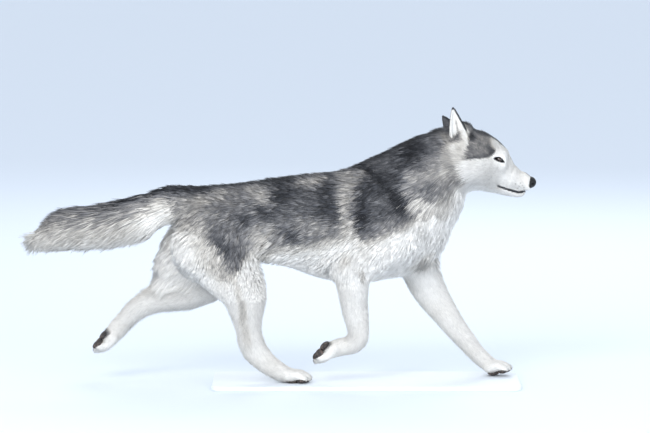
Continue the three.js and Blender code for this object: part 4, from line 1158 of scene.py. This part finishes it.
def tufts(region, count, width, rings, seed, clump=0.5, flock=7, stray=0.16, density=None, longer=1.0):
    """Arrays of the tufts of one region: points, faces, colours, normals and places on the lay-out."""
    rng = np.random.default_rng(seed)
    chosen = np.flatnonzero(REGIONS[region])
    weight = areas[chosen]
    if density is not None:
        weight = weight * density(centres[chosen])
    heap = np.cumsum(weight)
    spread = (np.arange(count) + rng.random(count)) / count * heap[-1] * 0.999999
    pick = chosen[np.searchsorted(heap, spread)]
    a, b = rng.random(count), rng.random(count)
    over = a + b > 1
    a[over], b[over] = 1 - a[over], 1 - b[over]
    share = np.stack([1 - a - b, a, b], 1)[:, :, None]
    root = (corner_points[pick] * share).sum(1)
    normal = unit((skin_normals[triangles[pick]] * share).sum(1))
    # no tufts on the rims of the eyes and mouth, at the base and at the tips of the ears
    bare = np.min([gap(root) for gap in slits], axis=0) < 2.8
    bare |= (np.abs(root[:, 2] - mouth_height(root[:, 0])) < 2.0) & (root[:, 0] > MOUTH["corner"] - 2)
    bare |= root[:, 2] < FLOOR + 0.6
    for one in EARS.values():
        bare |= np.linalg.norm(root - one["tip"], axis=1) < 7
    root, normal = root[~bare], normal[~bare]
    count = len(root)

    way = lie(root)
    rising = (way * normal).sum(1)
    flat = unit(way - (rising - 0.7 * np.maximum(rising, 0))[:, None] * normal)
    across = unit(np.cross(normal, flat))
    swirl = 0.28 * noise(root, 38, seed + 11) + 0.16 * noise(root, 14, seed + 12)
    turn = stray * rng.normal(size=count) + swirl * (1 - 0.6 * head_share(root))
    heading = flat * np.cos(turn)[:, None] + across * np.sin(turn)[:, None]

    depth = np.maximum(coat_depth(root) * (1 - ear_share(root)), 1.0)
    long = hair_length(root) * longer * rng.uniform(0.75, 1.2, count)
    wide = hair_width(root) * width * rng.uniform(0.75, 1.25, count)
    # the tip is drawn to the coat's surface, further out on the tail's brush and the breeches
    tip = root + heading * (long * 0.94)[:, None] + normal * depth[:, None]
    aim = -rng.uniform(-1, 2.6, count) * np.minimum(depth / 6, 1)
    aim += (rng.random(count) < 0.12) * rng.uniform(0, 0.35, count) * depth
    brush = window(root[:, 0], -470, -520) * window(root[:, 2], 325, 345)
    fringe = np.maximum(brush, window(root[:, 0], -415, -440))
    aim += fringe * (rng.random(count) < 0.3) * rng.uniform(0, 9, count)
    more = fullness(root)
    most = np.minimum(0.45 * long, depth + 3 + more + 40 * brush)
    tip += normal * (aim + more - outline(tip)).clip(-0.4 * long, most)[:, None]

    # tufts near the same guide come together in a point
    guides = np.arange(0, count, flock)
    tree = kdtree.KDTree(len(guides))
    for n, g in enumerate(guides):
        tree.insert(root[g], n)
    tree.balance()
    own = np.array([tree.find(r)[1] for r in root])
    gather = clump * rng.uniform(0.6, 1.2, count) * (1 - 0.7 * leg_share(root))
    tip += (tip[guides[own]] - tip) * gather[:, None].clip(0, 0.95)

    start = root - normal * (0.08 * long).clip(0.5, 1.5)[:, None]
    length = unit(tip - start)
    across = unit(np.cross(normal, length))
    face = np.cross(length, across)
    # the underside of a tuft shows where it stands out past the rim of the body
    under = window((face * slope(outline, tip, 2)).sum(1), 0.8, 0.4)[:, None]
    shown = (0.35 * normal + 0.65 * face) * (1 - under)
    height = ((tip - start) * normal).sum(1)
    level = tip - start - normal * height[:, None]
    seen = root + 0.6 * (tip - root) + rng.normal(0, 0.1, (count, 3)) * long[:, None]
    base_tone = all_tones(seen)
    grey = window(base_tone, 0.1, 0.4)
    shade = rng.normal(0, 0.06, count) + 0.05 * noise(root, 16, seed + 20)
    shade += rng.normal(0, 0.07, len(guides))[own]
    shade *= 0.25 + 0.75 * grey
    points, normals, tones = [], [], []
    for ring in range(rings):
        t = ring / rings
        rise = (1 - (1 - t) ** 1.7) if rings > 1 else t
        spine = start + level * t + normal * (height * rise)[:, None]
        thick = (1.0 - 0.25 * t) * (0.75 if t == 0 else 1)
        half = across * (wide * thick * 0.5)[:, None]
        ridge = face * (wide * thick * 0.42)[:, None]
        for place, lean in ((spine - half, -0.8), (spine + half, 0.8), (spine + ridge, 0)):
            points.append(place)
            normals.append(shown + across * lean + face * under * (0.7 - abs(lean) * 1.25))
            tones.append(base_tone * (0.74 + 0.26 * t) + shade * t)
    points.append(tip)
    normals.append(shown + length * (0.2 + under))
    tones.append(base_tone * 1.1 + shade + 0.03 * grey)
    each = 3 * rings + 1
    points = np.stack(points, 1).reshape(-1, 3)
    normals = unit(np.stack(normals, 1).reshape(-1, 3))
    colour = colours_of(np.stack(tones, 1).ravel().clip(0, 1))
    bright = 1 + rng.normal(0, 0.06, count) + rng.normal(0, 0.04, len(guides))[own]
    colour[:, :3] *= np.repeat(bright, each)[:, None].clip(0.8, 1.12)
    pattern = [(0, 2, 1)]
    for ring in range(rings - 1):
        for i in range(3):
            p0, p1 = 3 * ring + i, 3 * ring + (i + 1) % 3
            pattern += [(p0, p1, p1 + 3), (p0, p1 + 3, p0 + 3)]
    last = 3 * (rings - 1)
    pattern += [(last, last + 1, each - 1), (last + 1, last + 2, each - 1), (last + 2, last, each - 1)]
    faces = (np.array(pattern)[None] + (np.arange(count) * each)[:, None, None]).reshape(-1, 3)
    spot = unwrap(root, region)
    patch = np.zeros((each, 2))
    for ring in range(rings):
        patch[3 * ring : 3 * ring + 3] = [(-0.0015, 0), (0.0015, 0), (0, 0.0006)]
        patch[3 * ring : 3 * ring + 3, 1] += 0.0026 * ring / rings - 0.0015
    patch[-1] = (0, 0.0015)
    uv = (spot[:, None] + patch[None]).reshape(-1, 2)
    return points, faces, colour, normals, uv


def coat(name, slot, region, count, width, rings, seed, **more):
    mesh = mesh_of(name, *tufts(region, count, width, rings, seed, **more))
    place_piece(name, mesh, coat_finish, slot)


coat("torso_coat", "grey_coat", "torso", 33000, 1.1, 1, 21)
coat("torso_coat_over", "grey_coat", "torso", 19000, 0.85, 2, 22, clump=0.7, longer=1.12)
coat("neck_coat", "grey_coat", "neck", 24000, 1.1, 1, 31, clump=0.6)
coat("neck_coat_over", "grey_coat", "neck", 18500, 0.85, 2, 32, clump=0.65, longer=1.12)
coat("tail_coat", "grey_coat", "tail", 9000, 1.2, 2, 41, clump=0.3)
coat("tail_coat_over", "grey_coat", "tail", 7000, 0.9, 3, 42, clump=0.55, longer=1.1)
coat("thigh_coat", "grey_coat", "thighs", 19000, 0.95, 2, 51, clump=0.6)
coat("foreleg_coat", "white_coat", "forelegs", 32000, 1.05, 1, 61, clump=0.5)
coat("hindleg_coat", "white_coat", "hindlegs", 32000, 1.05, 1, 62, clump=0.5)
coat(
    "head_coat", "white_coat", "head", 47000, 1.0, 1, 71,
    clump=0.4, density=lambda p: 1 + 1.2 * window(p[:, 0], 290, 330),
)
coat("ear_coat", "grey_coat", "ears", 11000, 1.0, 1, 81, clump=0.3)

# The nose: bare black skin, moist and finely pebbled, with a groove down its middle.
# It is a piece of its own, set on the end of the muzzle.


def nose_form(p):
    f = join(head_form(p), ball([410, 0, 508.5], [15, 16, 14.5])(p), 3)
    for side in (-1, 1):
        f = carve(f, ball([422, 7 * side, 510.5], [6, 3.4, 3.6])(p), 1.2)
        f = carve(f, ball([415, 13 * side, 506], [6, 3, 1.6])(p), 1.2)
    groove = np.sqrt((p[:, 1] / 0.7) ** 2 + ((p[:, 0] - 425) / 3) ** 2) - 1
    f = carve(f, np.maximum(groove, p[:, 2] - 512), 0.8)
    rim = np.maximum(-beyond(NOSE_BACK, p), nose_foot(p) - p[:, 2]) + 0.1
    rim = np.maximum(rim, ball([409, 0, 508.5], [17.5, 18, 16.5])(p))
    return carve(f, -rim, 2.5)


nose_lines = [np.arange(388, 432, 0.9), np.arange(-26, 26.1, 0.9), np.arange(484, 534, 0.9)]
nose_points, nose_faces = wrap(nose_form, nose_lines)
nose_points -= nose_form(nose_points).clip(-1, 1)[:, None] * slope(nose_form, nose_points, 0.4)
nose_finish = Finish("nose_leather", Roughness=0.38, Specular_IOR_Level=0.35)
values = {"Vector": nose_finish.place(), "Scale": 900.0}
pebbles = nose_finish.node("ShaderNodeTexVoronoi", None, values, "Distance")
nose_finish.feed(
    Base_Color=nose_finish.mix(nose_finish.noise(200, 2), linear(10, 10, 11), linear(26, 25, 26)),
    Roughness=0.28 + 0.3 * nose_finish.noise(300, 2),
    Normal=nose_finish.bump(pebbles, 0.35, 0.0004),
)
nose_mesh = mesh_of("nose_leather", nose_points, nose_faces)
place_piece("nose_leather", nose_mesh, nose_finish, "bare_skin", "nose")

# The eyes: glass eyes as in a museum model, dark brown with a black pupil under a wet clear front.
# Each is a ball behind the lids, and its colours run in rings round the way it looks.


def ball_parts(first, centre, u, v, pole, rings, sectors, swell=lambda polar: 1):
    """Points and faces of a ball with the half axes u, v and pole; first is the number of its first point."""
    points, faces = [], []
    for i in range(1, rings):
        polar = math.pi * i / rings
        for j in range(sectors):
            turn = 2 * math.pi * j / sectors
            way = pole * math.cos(polar) + (u * math.cos(turn) + v * math.sin(turn)) * math.sin(polar)
            points.append(centre + way * swell(polar))
    front = first + len(points)
    points += [centre + pole * swell(0), centre - pole * swell(math.pi)]
    last = first + (rings - 2) * sectors
    for j in range(sectors):
        k = (j + 1) % sectors
        faces.append([front, first + j, first + k])
        for i in range(rings - 2):
            a, b = first + i * sectors + j, first + i * sectors + k
            faces.append([a, a + sectors, b + sectors, b])
        faces.append([front + 1, last + k, last + j])
    if np.dot(np.cross(u, v), pole) < 0:
        faces = [[face[0], *face[:0:-1]] for face in faces]
    return points, faces


def mesh_from(name, points, faces):
    """A smooth mesh from lists of points in millimetres, kept above the base, and of faces."""
    points = np.array(points)
    points[:, 2] = np.maximum(points[:, 2], FLOOR)
    mesh = bpy.data.meshes.new(name)
    mesh.from_pydata([tuple(0.001 * p) for p in points], [], faces)
    mesh.polygons.foreach_set("use_smooth", np.ones(len(faces), bool))
    return mesh


def cornea(polar):
    """The bulge of the eye's front."""
    return 1 + 0.05 * max(0.0, 1 - (polar / 0.62) ** 2)


for side, name, centre in zip((-1, 1), ("right", "left"), eyes):
    gaze = Vector((0.66, 0.74 * side, 0.06)).normalized()
    u = gaze.orthogonal().normalized()
    axes = [np.array(way) * EYE["r"] for way in (u, gaze.cross(u), gaze)]
    ball_of_glass = mesh_from(f"eyeball_{name}", *ball_parts(0, centre, *axes, 32, 48, cornea))
    glass = Finish(f"eye_glass_{name}", Roughness=0.08, Coat_Weight=1.0, Coat_Roughness=0.02, IOR=1.45)
    values = {0: glass.place(), 1: Vector(centre * 0.001)}
    away = glass.node("ShaderNodeVectorMath", {"operation": "SUBTRACT"}, values)
    values = {0: away, 1: gaze * (1000 / EYE["r"])}
    facing = glass.node("ShaderNodeVectorMath", {"operation": "DOT_PRODUCT"}, values, "Value")
    # the ends come first: the shaded white of the eye and the pupil, then the dark rim and the iris
    ring_colours = glass.ramp(
        facing, (0.0, (58, 46, 40)), (1.0, (4, 4, 5)), (0.55, (38, 28, 24)), (0.64, (12, 8, 7)),
        (0.72, (70, 42, 24)), (0.84, (48, 28, 17)), (0.9, (6, 5, 5)),
    )
    glass.feed(Base_Color=ring_colours)
    place_piece(f"eyeball_{name}", ball_of_glass, glass, "eyes", f"eye_{name}")

# The claws: dark horn, one bent and blunt on each toe.
# They grow from the toe ends and stop just above the base.
STEPS, SIDES = 6, 10
claw_points, claw_faces = [], []
for paw in PAWS.values():
    lean = unit(paw["toes"] * 0.93 - paw["top"] * 0.37)
    above = np.cross(np.cross(lean, paw["top"]), lean)
    across = np.cross(lean, above)
    for offset, reach in TOES:
        foot = on_paw(paw, 30 + reach, offset * 1.05, -1)
        first = len(claw_points)
        for i in range(STEPS):
            t = i / STEPS
            middle = foot + lean * (15 * t - 5) - above * (6.5 * t * t)
            high = 3.1 * (1 - t) ** 0.6
            for j in range(SIDES):
                turn = 2 * math.pi * j / SIDES
                way = across * (high * 0.75 * math.cos(turn)) + above * (high * math.sin(turn))
                claw_points.append(middle + way)
        end = len(claw_points)
        claw_points.append(foot + lean * 9.4 - above * 6)
        claw_faces.append([first + j for j in range(SIDES)])
        for j in range(SIDES):
            k = (j + 1) % SIDES
            for i in range(STEPS - 1):
                a, b = first + i * SIDES + j, first + i * SIDES + k
                claw_faces.append([a, a + SIDES, b + SIDES, b])
            claw_faces.append([end - SIDES + j, end, end - SIDES + k])
horn = Finish("claw_horn", Roughness=0.4)
horn.feed(
    Base_Color=horn.mix(horn.noise(260, 2), linear(52, 46, 42), linear(96, 86, 78)),
    Normal=horn.bump(horn.noise(600, 2), 0.2, 0.0003),
)
place_piece("claws", mesh_from("claws", claw_points, claw_faces), horn, "bare_skin")

# The pads: thick dark leather under each toe and under the ball of the foot, with paler worn spots.
# They show on the two lifted feet.
pad_points, pad_faces = [], []
for paw in PAWS.values():
    low = 3.5 if paw["top"][2] < 0 else 0  # the lifted feet show more of their pads
    pads = [
        (on_paw(paw, 20 + reach, offset * 1.1, -9 - low), (12, 8, 6 + 0.4 * low)) for offset, reach in TOES
    ]
    pads.append((on_paw(paw, -11, 0, -13.5 - low), (15, 21, 6.5 + 0.5 * low)))
    for centre, (long, wide, high) in pads:
        axes = (paw["toes"] * long, vec(0, wide, 0), -paw["top"] * high)
        points, faces = ball_parts(len(pad_points), centre, *axes, 10, 20)
        pad_points += points
        pad_faces += faces
pad_finish = Finish("pad_leather", Roughness=0.65)
spots = pad_finish.ramp(
    pad_finish.noise(130, 2), (0.0, (26, 24, 24)), (0.5, (48, 43, 41)), (0.7, (112, 96, 88))
)
pad_finish.feed(Base_Color=spots, Normal=pad_finish.bump(pad_finish.noise(900, 2), 0.5, 0.0006))
place_piece("pads", mesh_from("pads", pad_points, pad_faces), pad_finish, "bare_skin")

# The display base: a flat board with rounded corners, painted pale and matt, that two paws stand on.
# The solid's own mesh stays and gets its paint.
paint = Finish("pale_paint", Roughness=0.6)
paint.feed(
    Base_Color=paint.mix(paint.noise(14, 3), linear(226, 233, 240), linear(234, 239, 245)),
    Roughness=0.5 + 0.2 * paint.noise(60, 3),
    Normal=paint.bump(paint.noise(420, 4), 0.12, 0.0004),
)
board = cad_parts["stand_base"]
for material_slot in board.material_slots:
    material_slot.material = paint.material
